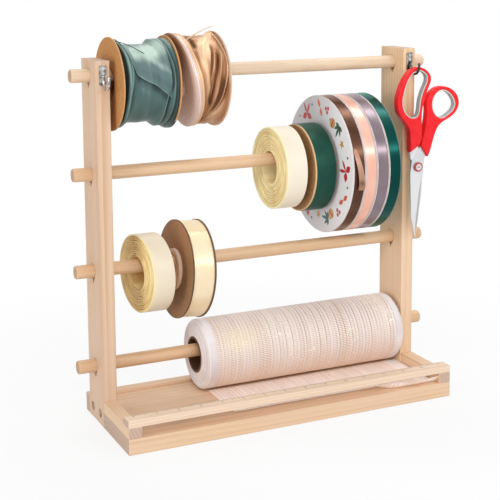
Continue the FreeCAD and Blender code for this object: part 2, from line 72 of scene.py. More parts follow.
# ---- Light and floor
# Two long strip lights, overhead and in front, that draw bright bands on the satin, and soft
# boxes high in front and on the left. The floor is white paper that keeps the shadow.
class Signal:
    """A shader socket, wrapped so that sums and products on it add their Math nodes."""

    def __init__(self, tree, socket):
        self.tree = tree
        self.socket = socket

    def node(self, kind, inputs=None, output=0, **settings):
        """Any other shader node, from its sockets' values or links, and its settings."""
        made = self.tree.nodes.new("ShaderNode" + kind)
        for setting, value in settings.items():
            setattr(made, setting, value)
        for key, value in (inputs or {}).items():
            if isinstance(value, Signal):
                self.tree.links.new(value.socket, made.inputs[key])
            elif value is not None:
                made.inputs[key].default_value = value
        return Signal(self.tree, made.outputs[output]) if len(made.outputs) else None

    def maths(self, operation, first, second=None):
        return self.node("Math", {0: first, 1: second}, operation=operation)

    def vector(self, operation, second=None, third=None, output=0):
        return self.node("VectorMath", {0: self, 1: second, 2: third}, output, operation=operation)

    def part(self, axis):
        """X (0), Y (1) or Z (2) of a vector."""
        return self.node("SeparateXYZ", {0: self}, axis)

    def __add__(self, other):
        return self.maths("ADD", self, other)

    __radd__ = __add__

    def __mul__(self, other):
        return self.maths("MULTIPLY", self, other)

    __rmul__ = __mul__

    def __sub__(self, other):
        return self.maths("SUBTRACT", self, other)

    def __rsub__(self, other):
        return self.maths("SUBTRACT", other, self)

    def __truediv__(self, other):
        return self.maths("DIVIDE", self, other)

    def __abs__(self):
        return self.maths("ABSOLUTE", self)


def shader_start(tree):
    """An empty node tree's first signal, the place of each point in its piece, in metres."""
    tree.nodes.clear()
    return Signal(tree, tree.nodes.new("ShaderNodeTexCoord").outputs["Object"])


def material(name):
    """A new material's first signal, which keeps the material as its look."""
    made = bpy.data.materials.new(name)
    made.use_nodes = True
    place = shader_start(made.node_tree)
    place.look = made
    return place


def seen_plainly(start):
    """1 for what the camera sees straight, in a gloss or through glass."""
    path = start.tree.nodes.new("ShaderNodeLightPath").outputs
    rays = [Signal(start.tree, path["Is %s Ray" % kind]) for kind in ("Camera", "Glossy", "Transmission")]
    return rays[0] + rays[1] + rays[2]


def between(value, low, high, start=0.0, end=1.0):
    """Runs smoothly from start to end while value goes from low to high."""
    return value.node("MapRange", {"Value": value, "From Min": low, "From Max": high, "To Min": start,
                                   "To Max": end}, interpolation_type="SMOOTHSTEP")


ambient = 0.46
world = bpy.data.worlds.new("studio")
bpy.context.scene.world = world
world.use_nodes = True
sky = shader_start(world.node_tree)
dim = sky.node("Background", {"Color": (0.96, 0.98, 1, 1), "Strength": ambient})
white = sky.node("Background", {"Color": (1, 1, 1, 1), "Strength": 1.0})
sky.node("OutputWorld", {0: sky.node("MixShader", {0: seen_plainly(sky), 1: dim, 2: white})})

paper = 20.0
paper_drop = 0.0002
floor_mesh = bpy.data.meshes.new("floor")
paper_corners = [(x * paper, y * paper, 0) for x, y in ((-1, -1), (1, -1), (1, 1), (-1, 1))]
floor_mesh.from_pydata(paper_corners, [], [(0, 1, 2, 3)])
floor = bpy.data.objects.new("floor", floor_mesh)
floor.location = (0, 0, -paper_drop)
bpy.context.collection.objects.link(floor)
ground = material("floor")
distance = ground.vector("LENGTH", output=1)
lit = ground.node("BsdfDiffuse", {"Color": (0.86, 0.86, 0.86, 1)})
glow = ground.node("Emission", {"Color": (1, 1, 1, 1), "Strength": 1.0})
share = between(distance, 0.25, 0.65, 0.82, 1.0) * seen_plainly(ground)
ground.node("OutputMaterial", {0: ground.node("MixShader", {0: share, 1: lit, 2: glow})})
floor_mesh.materials.append(ground.look)


def soft_box(name, place, aim, width, height, watts):
    lamp = bpy.data.lights.new(name, "AREA")
    lamp.shape = "RECTANGLE"
    lamp.size = width
    lamp.size_y = height
    lamp.energy = watts
    made = bpy.data.objects.new(name, lamp)
    made.location = place
    made.rotation_euler = (Vector(aim) - Vector(place)).to_track_quat("-Z", "Y").to_euler()
    bpy.context.collection.objects.link(made)


soft_box("overhead_light", (0.40, 0.42, 1.35), (0, 0, 0.25), 1.9, 0.16, 9.0)
soft_box("front_light", (0.45, -1.5, 0.92), (0, 0, 0.25), 2.0, 0.16, 11.0)
soft_box("high_front_light", (-0.55, -1.3, 1.3), (0, 0, 0.2), 1.0, 0.45, 5.6)
soft_box("left_light", (-1.5, -0.5, 0.5), (0, 0, 0.2), 0.5, 0.8, 6.5)

# ---- Pine boards
# Base board, back rail, side rails, ruler strip and uprights: planed pine, glued and screwed,
# bare and sanded. The growth rings run along each board and show as arcs in the sawn ends.
along_x = (1, 0, 0)
along_y = (0, 1, 0)
along_z = (0, 0, 1)
early_wood = (0.83, 0.590, 0.385)
late_wood = (0.70, 0.450, 0.265)
pink_wood = (0.78, 0.57, 0.45)
dark_fibre = (0.60, 0.39, 0.24)
sawn_end = (0.60, 0.43, 0.33)
sawn_ring = (0.46, 0.31, 0.23)


def grain(place, scale, stretch=(1, 1, 1), detail=2.0, offset=(0, 0, 0)):
    """Soft noise of this many waves a metre, more or fewer along each axis."""
    spot = place.vector("MULTIPLY_ADD", [scale * share for share in stretch], offset)
    return place.node("TexNoise", {"Vector": spot, "Scale": 1.0, "Detail": detail})


def mix(share, first, second):
    """One colour over another."""
    inputs = {0: share, 6: first, 7: second}
    for key, value in inputs.items():
        if isinstance(value, tuple):
            inputs[key] = (*value, 1)
    start = share if isinstance(share, Signal) else first
    return start.node("Mix", inputs, 2, data_type="RGBA", clamp_factor=True)


def facing(place, direction):
    """1 on faces that look along this direction, either way, and 0 on those beside it."""
    normal = Signal(place.tree, place.socket.node.outputs["Normal"])
    return abs(normal.vector("DOT_PRODUCT", direction, output=1))


def surface(place, colour, roughness, relief=None, depth=0.0, **others):
    """The finished material: a bump of this depth in metres, and the Principled sockets by name."""
    inputs = {"Base Color": colour, "Roughness": roughness}
    for name, value in others.items():
        inputs[name.replace("_", " ")] = value
    if relief:
        inputs["Normal"] = place.node("Bump", {"Height": relief, "Distance": depth, "Strength": 1.0})
    place.node("OutputMaterial", {0: place.node("BsdfPrincipled", inputs)})
    return place.look


def pine(name, along, heart, ring_gap=0.0046, pink=0.3, early=early_wood, late_ring=late_wood):
    """Pine cut from a log whose heart runs along the board through this point."""
    place = material(name)
    long_way = [1 - 0.93 * share for share in along]
    across = place.vector("SUBTRACT", heart).vector("MULTIPLY", [1 - share for share in along])
    radius = across.vector("LENGTH", output=1)
    wander = grain(place, 22, long_way, 3.0)
    ring = place.maths("FRACT", (radius + 0.011 * wander) / ring_gap)
    late = between(ring, 0.15, 0.86) * between(ring, 0.9, 1.0, 1.0, 0.0)
    strength = grain(place, 60, long_way, 1.0, (3, 5, 7))
    fibre = grain(place, 1500, [1 - 0.97 * share for share in along])
    blotch = grain(place, 16, [1 - 0.75 * share for share in along], offset=(9, 2, 4))
    colour = mix(late * between(strength, 0.3, 0.7, 0.25, 0.85), early, late_ring)
    colour = mix(between(blotch, 0.4, 0.7) * pink, colour, pink_wood)
    colour = mix(between(fibre, 0.5, 0.75) * 0.22, colour, dark_fibre)
    cut_end = between(facing(place, along), 0.6, 0.9)
    colour = mix(cut_end, colour, mix(late * 0.5, sawn_end, sawn_ring))
    rough = between(late, 0, 1, 0.62, 0.5) + cut_end * 0.15
    return surface(place, colour, rough, fibre + late * 0.7, 0.00006)


def finish(look, *nodes):
    """Gives a material to CAD pieces that keep their own shape."""
    for name in nodes:
        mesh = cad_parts[name].data
        mesh.materials.clear()
        mesh.materials.append(look)


finish(pine("pine_base", along_x, (0, -0.02, -0.075), 0.0052, 0.3, (0.81, 0.565, 0.36), (0.67, 0.42, 0.24)),
       "base_board")
finish(pine("pine_back", along_x, (0, 0.12, 0.06)), "back_rail")
finish(pine("pine_ruler", along_x, (0, -0.09, 0.11), 0.0034, 0.1, (0.88, 0.69, 0.52), (0.79, 0.57, 0.40)),
       "ruler_strip")
finish(pine("pine_side_rails", along_y, (0.02, 0, 0.08), 0.0038), "left_side_rail", "right_side_rail")
finish(pine("pine_left_upright", along_z, (-0.15, -0.06, 0), 0.0044, 0.35, (0.72, 0.505, 0.34),
            (0.55, 0.335, 0.20)), "left_upright")
finish(pine("pine_right_upright", along_z, (0.13, 0.10, 0), 0.005, 0.4, (0.87, 0.61, 0.375),
            (0.75, 0.48, 0.27)), "right_upright")

# ---- Rods
# Four birch dowels, 15 mm thick, with softened ends. They slide through the holes of the
# uprights and pull out to the side to load a spool.


def birch(name, plain, streaked, flushed):
    """Birch with its streaks along the rod, and open pores in the sawn ends."""
    place = material(name)
    streak = grain(place, 260, (0.05, 1, 1), 3.0)
    flush = grain(place, 20, (0.25, 1, 1))
    pores = grain(place, 2600, (0.3, 1, 1), 1.0)
    colour = mix(between(streak, 0.42, 0.62) * 0.6, plain, streaked)
    colour = mix(between(flush, 0.35, 0.7) * 0.4, colour, flushed)
    sawn = mix(between(pores, 0.4, 0.6), (0.53, 0.335, 0.185), (0.43, 0.26, 0.145))
    colour = mix(between(facing(place, along_x), 0.7, 0.95), colour, sawn)
    return surface(place, colour, between(streak, 0.3, 0.7, 0.42, 0.55), streak, 0.00005)


finish(birch("birch_pale", (0.76, 0.575, 0.40), (0.66, 0.455, 0.29), (0.81, 0.65, 0.48)), "top_rod")
finish(birch("birch_warm", (0.72, 0.475, 0.28), (0.61, 0.365, 0.195), (0.78, 0.56, 0.365)),
       "upper_rod", "lower_rod", "bottom_rod")

# ---- Ruler marks
# Burnt into the ruler strip along its back edge: an inch scale with eighths, and a number at
# each inch.
inch = 0.0254
mark_depth = 0.00004
mark_half_width = 0.00036
mark_lengths = (0.0046, 0.0022, 0.0022, 0.0022, 0.0033, 0.0022, 0.0022, 0.0022)
digit_size = 0.0036
digit_reach = 0.0079
ruler_low, ruler_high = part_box("ruler_strip")
scale_start = ruler_low.x + 0.0095
scale_top = ruler_high.z
scale_back = ruler_high.y - 0.0011


def join(name, meshes, body, slot, *looks):
    """One piece on its body, from several meshes, each with the material of its place in the list."""
    bundle = bmesh.new()
    for mesh, look in meshes:
        before = len(bundle.faces)
        bundle.from_mesh(mesh)
        bundle.faces.ensure_lookup_table()
        for face in bundle.faces[before:]:
            face.material_index = look
    made = bpy.data.meshes.new(name)
    bundle.to_mesh(made)
    bundle.free()
    return placed(name, made, body, looks)


def placed(name, mesh, body, looks):
    """A new piece of this mesh, with its materials, that moves with its body."""
    for look in looks:
        mesh.materials.append(look)
    piece = bpy.data.objects.new(name, mesh)
    bpy.context.collection.objects.link(piece)
    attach(piece, body)
    return piece


def slab(corners, lift):
    """A thin flat shape with these corners, thickened by the vector lift."""
    count = len(corners)
    points = [Vector(corner) for corner in corners]
    points += [point + Vector(lift) for point in points]
    faces = [tuple(range(count))[::-1], tuple(range(count, 2 * count))]
    for i in range(count):
        after = (i + 1) % count
        faces.append((i, after, count + after, count + i))
    mesh = bpy.data.meshes.new("slab")
    mesh.from_pydata(points, [], faces)
    return mesh


inches = 15
marks = []
for eighth in range(inches * 8 + 1):
    middle = scale_start + eighth * inch / 8
    length = mark_lengths[eighth % 8]
    corners = [(middle + side * mark_half_width, scale_back - reach * length, scale_top)
               for side, reach in ((-1, 1), (1, 1), (1, 0), (-1, 0))]
    marks.append((slab(corners, (0, 0, mark_depth)), 0))
for number in range(1, inches):
    text = bpy.data.curves.new("number", "FONT")
    text.body = str(number)
    text.size = digit_size
    text.align_x = "CENTER"
    text.extrude = mark_depth / 2
    writing = bpy.data.objects.new("number", text)
    bpy.context.collection.objects.link(writing)
    digits = bpy.data.meshes.new_from_object(writing.evaluated_get(bpy.context.evaluated_depsgraph_get()))
    digit_place = (scale_start + number * inch, scale_back - digit_reach, scale_top + mark_depth / 2)
    digits.transform(Matrix.Translation(digit_place))
    marks.append((digits, 0))
    bpy.data.objects.remove(writing)
place = material("burnt_marks")
char = grain(place, 1800)
burnt_tone = mix(between(char, 0.35, 0.7), (0.09, 0.07, 0.06), (0.20, 0.145, 0.11))
join("ruler_marks", marks, "rack", "pine", surface(place, burnt_tone, 0.75, char, 0.00002))

# ---- Screws, plates and hooks
# Zinc plated steel: wood screws at the foot of the uprights and along the back rail, two
# screw plates, and bent wire hooks. The right hook is painted near black, a painted dark
# reflection of its surroundings, and the dark patches on the bright hook and the plates are
# painted dark reflections.


def metal(name, colour, wear_and_dark_reflection, low, high):
    """Plated steel with fine rubbing marks, and patches of a second colour, which is wear on most
    pieces and a painted dark reflection on the hooks and plates.
    """
    place = material(name)
    rub = grain(place, 700, (1, 1, 0.25), 3.0)
    patch = grain(place, 260)
    tone = mix(between(patch, 0.38, 0.62) * 0.8, colour, wear_and_dark_reflection)
    return surface(place, tone, between(rub, 0.3, 0.7, low, high), rub, 0.00001, Metallic=1.0)


finish(metal("zinc", (0.62, 0.61, 0.59), (0.45, 0.44, 0.42), 0.22, 0.42),
       "upright_screws", "back_rail_screws", "hook_screws")
# Painted dark reflections: dark patches on the bright hook wire and the plates, and a near black right hook.
finish(metal("bright_wire", (0.62, 0.61, 0.60), (0.22, 0.21, 0.21), 0.1, 0.24), "left_hook")
finish(metal("plate_steel", (0.46, 0.45, 0.44), (0.12, 0.12, 0.12), 0.16, 0.3),
       "left_hook_plate", "right_hook_plate")
finish(metal("dark_reflection_wire", (0.035, 0.035, 0.04), (0.10, 0.10, 0.105), 0.18, 0.34), "right_hook")

# ---- Card flanges and tubes
# Die cut discs of brown kraft board and spiral wound kraft tubes, glued together. The cut
# rims are paler and fuzzy, or dark on the kraft spool. Light and shade are painted on some:
# a tone towards the top of a disc, shade on the green spool's faces and light on their wide
# rims, and a near black tube in the mesh roll.
mm = 0.001


def axis_of(node):
    """Centre line height, and radius, of a round CAD piece that turns about X."""
    low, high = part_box(node)
    return (low.y + high.y) / 2, (low.z + high.z) / 2, (high.z - low.z) / 2


def round_in_mm(node):
    """The same in millimetres, as the centre line and the radius."""
    y, z, radius = (value / mm for value in axis_of(node))
    return (y, z), radius


def from_axis(place, node):
    """Distance of a point from a spool's centre line, its angle, and its place along X."""
    y, z = axis_of(node)[:2]
    ahead = y - place.part(1)
    above = place.part(2) - z
    reach = place.maths("SQRT", ahead * ahead + above * above)
    return reach, place.maths("ARCTAN2", above, ahead), place.part(0)


def kraft(name, node, colour, dark, rim, rim_width=0.8, overhead=None):
    """Kraft board of one disc: flecked face, another cut rim, and, if given, a tone of painted light and
    shade towards the top.
    """
    place = material(name)
    reach, angle = from_axis(place, node)[:2]
    edge = axis_of(node)[2] - 0.0001
    fleck = grain(place, 900, (1, 1, 0.35), 3.0)
    cloud = grain(place, 35, detail=3.0)
    tone = mix(between(fleck, 0.38, 0.66), colour, dark)
    tone = mix(between(cloud, 0.35, 0.65) * 0.35, tone, dark)
    # Painted light and shade: the upper part of the disc takes another tone.
    if overhead:
        tone = mix(between(place.maths("SINE", angle), 0.1, 0.9), tone, overhead)
    tone = mix(between(reach, edge - rim_width * mm, edge) * 0.75, tone, rim)
    return surface(place, tone, between(fleck, 0.3, 0.7, 0.7, 0.85), fleck, 0.00008)


card_spools = dict(
    organza=("kraft_orange", (0.60, 0.285, 0.090), (0.50, 0.215, 0.064), (0.58, 0.31, 0.13)),
    # Champagne: the last tone is painted shade over the top of the disc, where the organza spool shades it.
    champagne=("kraft_mauve", (0.80, 0.62, 0.53), (0.68, 0.50, 0.42), (0.66, 0.43, 0.28), 1.2,
               (0.40, 0.21, 0.125)),
    # Green: a dark face, painted shade beside the coil, and a wide pale rim, partly the cut edge and partly
    # painted light on the outer ring.
    green=("kraft_shaded_face_pale_rim", (0.42, 0.225, 0.095), (0.29, 0.14, 0.055), (0.86, 0.58, 0.31), 2.2))
for spool, (name, *tones) in card_spools.items():
    board = kraft(name, spool + "_left_flange", *tones)
    finish(board, spool + "_left_flange", spool + "_right_flange", spool + "_core")
# The kraft spool's discs take painted light, paler towards the top.
for node in ("kraft_left_flange", "kraft_right_flange"):
    finish(kraft(node + "_board", node, (0.34, 0.180, 0.080), (0.26, 0.130, 0.056), (0.055, 0.030, 0.018),
                 0.8, (0.39, 0.190, 0.085)), node)
finish(kraft("kraft_peach_tube", "kraft_core", (0.88, 0.66, 0.49), (0.78, 0.54, 0.38), (0.86, 0.70, 0.60)),
       "kraft_core")
# The mesh roll's tube is near black, painted shade inside its core, with a lighter cut rim.
finish(kraft("kraft_tube_painted_shade", "mesh_core", (0.115, 0.055, 0.025), (0.075, 0.035, 0.015), (0.30, 0.155, 0.075)),
       "mesh_core")

# ---- Organza spool
# Sheer teal ribbon, 65 mm wide, wound loosely between two card discs. The wired edges stand
# higher than the middle, and the last turn lies askew over the front, held by a bent wire.
# Light and shade are painted on its points: pale near the top and along the hems, dark where
# it stands off its neighbours and under the last turn.


def on_spool(axis, x, radius, degrees):
    """A point round a spool's centre line, from the front (0) up over the top (90), in millimetres."""
    turn = math.radians(degrees)
    y, z = axis
    return Vector((x, y - radius * math.cos(turn), z + radius * math.sin(turn))) * mm


def grid(rows, columns, closed_rows=False, closed_columns=False):
    """Faces of a net of points, row after row."""
    faces = []
    for i in range(rows if closed_rows else rows - 1):
        for j in range(columns if closed_columns else columns - 1):
            below = (i + 1) % rows * columns
            after = (j + 1) % columns
            faces.append((i * columns + j, i * columns + after, below + after, below + j))
    return faces


def shaped(name, points, faces, body, look, stands_for=(), crease=50, paints=None):
    """A piece from points and faces, smooth up to the crease angle, on its body. Paints are a value
    for each point, for the materials to read."""
    mesh = bpy.data.meshes.new(name)
    mesh.from_pydata(points, [], faces)
    tidy = bmesh.new()
    tidy.from_mesh(mesh)
    bmesh.ops.recalc_face_normals(tidy, faces=tidy.faces)
    tidy.to_mesh(mesh)
    tidy.free()
    mesh.shade_smooth()
    mesh.set_sharp_from_angle(angle=math.radians(crease))
    for paint, values in (paints or {}).items():
        mesh.attributes.new(paint, "FLOAT", "POINT").data.foreach_set("value", values)
    piece = placed(name, mesh, body, [look])
    if stands_for:
        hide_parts(*stands_for)
    return piece


def painted(place, paint):
    """The signal of a value painted on the points."""
    return place.node("Attribute", output=2, attribute_name=paint)


usual_bore = 0.6


def wound(node, body, slot, look, columns, steps, radius_at, x_at, bore=None, box=None, **paint_at):
    """Wound ribbon as one closed body. radius_at gives its height, and each paint_at a value for the
    material, at a place along X and an angle. x_at bends the columns of points."""
    low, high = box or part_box(node)
    axis = ((low.y + high.y) / 2 / mm, (low.z + high.z) / 2 / mm)
    rim = (high.z - low.z) / 2 / mm
    hole = bore or usual_bore * rim
    points = []
    paints = {paint: [] for paint in paint_at}
    for i in range(steps):
        degrees = -180 + 360 * i / steps
        places = [x_at(j / columns, degrees, rim) for j in range(columns + 1)]
        points.append(on_spool(axis, x_at(0.0, degrees, hole), hole, degrees))
        points += [on_spool(axis, x, radius_at(x, degrees), degrees) for x in places]
        points.append(on_spool(axis, x_at(1.0, degrees, hole), hole, degrees))
        for paint, value_at in paint_at.items():
            values = [value_at(x, degrees) for x in places]
            paints[paint] += [values[0]] + values + [values[-1]]
    faces = grid(steps, columns + 3, True, True)
    return shaped(node + "_turns", points, faces, body, look, [node], paints=paints)


def smooth(value, low, high):
    """0 below low, 1 above high, eased between."""
    share = min(1.0, max(0.0, (value - low) / (high - low)))
    return share * share * (3 - 2 * share)


def plateau(value, start, full, fall, end):
    """0 before start, 1 from full to fall, and 0 again from end."""
    return smooth(value, start, full) * (1 - smooth(value, fall, end))


def bump(distance, width):
    """1 on a line, fading to nothing about two widths from it."""
    return math.exp(-(distance / width) ** 2)


def line_at(knots, value):
    """Where a smooth curve through these knots is at this value."""
    if value <= knots[0][0]:
        return knots[0][1]
    if value >= knots[-1][0]:
        return knots[-1][1]
    n = next(i for i, knot in enumerate(knots) if value <= knot[0])
    (start, low), (end, high) = knots[n - 1:n + 1]
    before, after = knots[max(n - 2, 0)], knots[min(n + 1, len(knots) - 1)]
    leaving = (high - before[1]) / (end - before[0]) * (end - start)
    arriving = (after[1] - low) / (after[0] - start) * (end - start)
    t = (value - start) / (end - start)
    bend = (t - 2 * t * t + t ** 3) * leaving + (t ** 3 - t * t) * arriving
    return low + (high - low) * t * t * (3 - 2 * t) + bend


def ripple(x, degrees, size, seed=0.0):
    """Even, repeatable unevenness over a drum, about -1 to 1, with waves of this size in millimetres."""
    turn = math.radians(degrees)
    return noise.noise(Vector((x / size, math.cos(turn) * 50 / size + seed, math.sin(turn) * 50 / size)))


def clamped(tint):
    return max(-1.0, min(1.0, tint))


def thread(name, paths, radius, body, look, tip=1.0):
    """Round wire or a rolled hem along each path of points, which thins to this share of its radius."""
    sides = 8
    points = []
    faces = []
    for path in paths:
        first = len(points)
        for i, point in enumerate(path):
            along = (path[min(i + 1, len(path) - 1)] - path[max(i - 1, 0)]).normalized()
            out = along.cross(Vector((0.3, 0.2, 1))).normalized()
            up = along.cross(out)
            reach = radius * mm * (1 + (tip - 1) * i / (len(path) - 1))
            for k in range(sides):
                turn = 2 * math.pi * k / sides
                points.append(point + (out * math.cos(turn) + up * math.sin(turn)) * reach)
        faces += [tuple(first + n for n in face) for face in grid(len(path), sides, False, True)]
        faces.append(tuple(range(first, first + sides)))
        faces.append(tuple(range(len(points) - sides, len(points))))
    return shaped(name, points, faces, body, look)


organza_axis = round_in_mm("organza_ribbon")[0]
organza_left, organza_right = (corner.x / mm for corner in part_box("organza_ribbon"))
thread_gap = 0.00045
weave_radius = 0.045
organza_waist = 43.3
organza_crest = 51.9
shadow_edge = [(-180, -171.6), (-32, -171.2), (-8, -170.2), (11, -169.2), (26, -169.2), (44, -169.7),
               (66, -171.2), (85, -172.6), (180, -171.6)]
left_hem = [(-180, -168.4), (-45, -168.8), (-11, -167.6), (5, -165.3), (22, -163.8), (35, -164.1),
            (53, -165.6), (75, -168.4), (180, -168.4)]
inner_hem = [(-180, -126), (-40, -127.2), (-11, -125.4), (-2, -122.4), (9, -121.7), (24, -122.9),
             (43, -124.9), (65, -126.6), (82, -130.0), (180, -126)]
outer_hem = [(-180, -119.6), (-70, -120.5), (-44, -119.4), (-26, -118.4), (0, -117.6), (28, -118.0),
             (44, -119.7), (69, -121.0), (180, -119.6)]
askew_left = -169.8
askew_edge = [(askew_left, 66), (-166, 44), (-162.8, 29), (-160, 18.6), (-154.8, 12.2), (-147, 6.3),
              (-137.5, 0.4), (-126.8, -10.6), (-122, -15)]
askew_fold = [(-170, 78), (-150, 52), (-138, 34), (-129, 24), (-122, 16)]


def organza_height(x, degrees):
    ridge, inner, outer = (line_at(hem, degrees) for hem in (left_hem, inner_hem, outer_hem))
    low_down = plateau(-degrees, 5, 70, 120, 175)
    height = organza_waist + 4.8 * plateau(x, -174.0, ridge - 3.4, ridge - 1.4, ridge + 9.0)
    height += 5.0 * smooth(x, -135.0, inner + 0.2) + (0.9 + 2.5 * low_down) * smooth(x, outer, -113.8)
    height -= 1.5 * bump(x - inner - 2.4, 1.4) + 1.0 * bump(x - outer - 1.9, 1.0)
    middle = plateau(x, ridge + 3, ridge + 12, -136, -130)
    height += middle * 0.7 * ripple(x, degrees * 0.4, 11) + 0.2 * ripple(x, degrees, 14, 4)
    overhead = plateau(degrees, 52, 78, 120, 160)
    height -= 3.0 * overhead * smooth(x, -172, -164) * (1 - 0.7 * smooth(x, -136, -127))
    return min(height, organza_crest)


def organza_tint(x, degrees):
    """Painted light and shade: dark (-1) where the ribbon stands off its neighbours and under the last
    turn, pale (1) along its hems and near the top.
    """
    lines = (shadow_edge, left_hem, inner_hem, outer_hem)
    shadow, ridge, inner, outer = (line_at(line, degrees) for line in lines)
    tint = 0.42 * smooth(degrees, 10, 75) - 0.22 * (1 - smooth(degrees, -70, 5))
    tint += 0.2 * smooth(-degrees, 45, 75)
    tint -= 1.3 * (1 - smooth(x, shadow - 1.0, shadow + 0.6)) - 0.30 * bump(x - shadow - 2.0, 1.0)
    tint += 0.70 * bump(x - ridge, 0.6) - 0.35 * bump(x - ridge - 2.6, 1.6)
    tint += 0.65 * bump(x - inner, 0.6) - 0.95 * bump(x - inner - 2.2, 1.3)
    tint += 0.50 * bump(x - outer, 0.5) - 0.70 * bump(x - outer - 1.9, 1.0)
    tint -= 0.22 * smooth(x, outer, outer + 3)
    tint -= 0.75 * smooth(x, -115.4, -112.6) * (1 - smooth(degrees, 35, 70))
    below = line_at(askew_edge, x) - degrees
    tint -= 0.55 * plateau(below, -1, 1.5, 4, 15) * plateau(x, -166, -158, -126, -121)
    return clamped(tint + 0.3 * ripple(x, degrees * 0.3, 8, 8))


def over_the_rim(share, degrees, radius):
    """Low down, the right edge has slipped over the rim of its disc."""
    spill = 1.9 * plateau(-degrees, 8, 40, 130, 170) if radius > 40 else 0.0
    return organza_left + share * (organza_right + spill - organza_left)


def sheer(name, middle, pale, dark, see_through=None):
    """Nylon organza: fine plain weave in a soft metallic tone, with its streaks running round the drum.
    The painted light and shade on its points moves the tone towards pale and dark.
    """
    place = material(name)
    angle, x = from_axis(place, "organza_ribbon")[1:]
    streaks = grain(place, 190, (1, 0.10, 0.10), 3.0)
    clouds = grain(place, 45, (1, 0.8, 0.8), offset=(5, 1, 2))
    tint = painted(place, "tint") + (streaks - 0.5) * 0.7 + (clouds - 0.5) * 0.5
    tone = mix(between(tint, 0, 0.9), middle, pale)
    tone = mix(between(0 - tint, 0, 0.9), tone, dark)
    weave = 2 * math.pi / thread_gap
    weft = place.maths("SINE", x * weave)
    warp = place.maths("SINE", angle * (weave_radius * weave))
    alpha = 1.0 if see_through is None else between(weft * warp, -0.6, 0.6, see_through, 0.95)
    rough = between(clouds, 0.3, 0.7, 0.36, 0.5)
    return surface(place, tone, rough, weft + warp, 0.00002, Metallic=0.12, Alpha=alpha)


organza_look = sheer("teal_organza", (0.063, 0.129, 0.121), (0.40, 0.58, 0.51), (0.005, 0.022, 0.022))
wound("organza_ribbon", "organza_spool", "teal_organza", organza_look, 96, 200, organza_height,
      x_at=over_the_rim, tint=organza_tint)

askew_points = []
askew_tints = []
askew_rows = 48
askew_columns = 60
askew_back = 150
for i in range(askew_rows + 1):
    for j in range(askew_columns + 1):
        x = askew_left + 47.8 * j / askew_columns
        start = line_at(askew_edge, x)
        degrees = start + (askew_back - start) * (i / askew_rows) ** 1.25
        fold = bump(degrees - line_at(askew_fold, x), 5.5) * smooth(x, -158, -148)
        gone = smooth(degrees, 95, askew_back)
        lift = 1.2 - 2.6 * gone + 1.0 * fold + 0.35 * ripple(x, degrees, 8, 2)
        sunk = 3.0 * smooth(degrees, 52, 78) + 2.0 * gone
        radius = max(organza_height(x, degrees) + lift, 44.4 + lift - sunk)
        askew_points.append(on_spool(organza_axis, x, min(radius, 50.4), degrees))
        # Painted light and shade on the last turn: highlights near the top, on the fold and along its lower
        # edge, shade in a band above that edge.
        glow = bump(x + 137, 9) * bump(degrees - 57, 17) + 0.6 * bump(x + 156, 9) * bump(degrees - 52, 16)
        tint = 0.30 * smooth(degrees, 12, 60) + 0.95 * glow + 0.5 * bump(degrees - start, 1.6)
        askew_tints.append(tint - 0.30 * bump(degrees - start - 12, 9) + 0.35 * fold)
askew_look = sheer("teal_askew", (0.105, 0.185, 0.180), (0.56, 0.70, 0.61), (0.03, 0.07, 0.07), 0.74)
askew = shaped("organza_last_turn", askew_points, grid(askew_rows + 1, askew_columns + 1), "organza_spool",
               askew_look, paints={"tint": askew_tints})

hem_radius = 0.36


def round_path(axis, line, height_at, angles):
    """Points of an edge that follows a line over a drum, a little above the ribbon."""
    return [on_spool(axis, line_at(line, degrees), height_at(line_at(line, degrees), degrees) + 0.1, degrees)
            for degrees in angles]


hem_look = sheer("teal_hem", (0.155, 0.255, 0.235), (0.42, 0.56, 0.49), (0.07, 0.13, 0.12))
hem_paths = [round_path(organza_axis, hem, organza_height, range(-180, 181, 4))
             for hem in (left_hem, inner_hem, outer_hem)]
hem_paths.append([point - Vector((0, 0.0003, 0)) for point in askew_points[:askew_columns + 1]])
thread("organza_hems", hem_paths, hem_radius, "organza_spool", hem_look)

wire_look = metal("florist_wire", (0.030, 0.045, 0.045), (0.07, 0.09, 0.09), 0.3, 0.5)
wire_bends = [(-176.2, 50.6, 71.5), (-168.8, 49.3, 69.5), (-162.4, 48.2, 65), (-155.2, 47.5, 57),
              (-147.4, 46.6, 48), (-143, 44.0, 42)]
wire_path = [on_spool(organza_axis, *bend) for bend in wire_bends]
thread("organza_wire", [wire_path], 0.42, "organza_spool", wire_look)

# ---- Champagne spool
# Gold brown satin with wired edges, wound in deep slanting folds. Its left disc leans out, and
# the edges of the turns behind it show as a stack of lavender, cream and orange lines. Light
# and shade are painted on its points: bright gold on the fold crests and the wired edge, near
# black in the creases and in the valley by the leaning disc.
champagne_axis, champagne_rim = round_in_mm("champagne_ribbon")
champagne_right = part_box("champagne_ribbon")[1].x / mm
champagne_waist = 48.6
champagne_crest = 52.9
flange_low, flange_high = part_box("champagne_left_flange")
flange_middle = (flange_low.x + flange_high.x) / 2 / mm + 1.0
flange_slope = math.tan(math.radians(10))
stacked = 0.25
fold_fade = 14
last_edge = [(-180, -85), (-95, -80.5), (-57, -81.7), (-34, -82.0), (-12, -83.8), (3, -85.3), (19, -88.2),
             (36, -91.3), (52, -93.0), (72, -95.1), (100, -96), (140, -92), (180, -85)]
selvedge = [(-180, -57), (-110, -57), (-84, -86), (-51.5, -76.1), (-40, -68.9), (-23.6, -63.2),
            (-3.9, -59.1), (12, -57.2), (29, -56.3), (48, -57.2), (70, -57.6), (93, -56.9), (180, -57)]
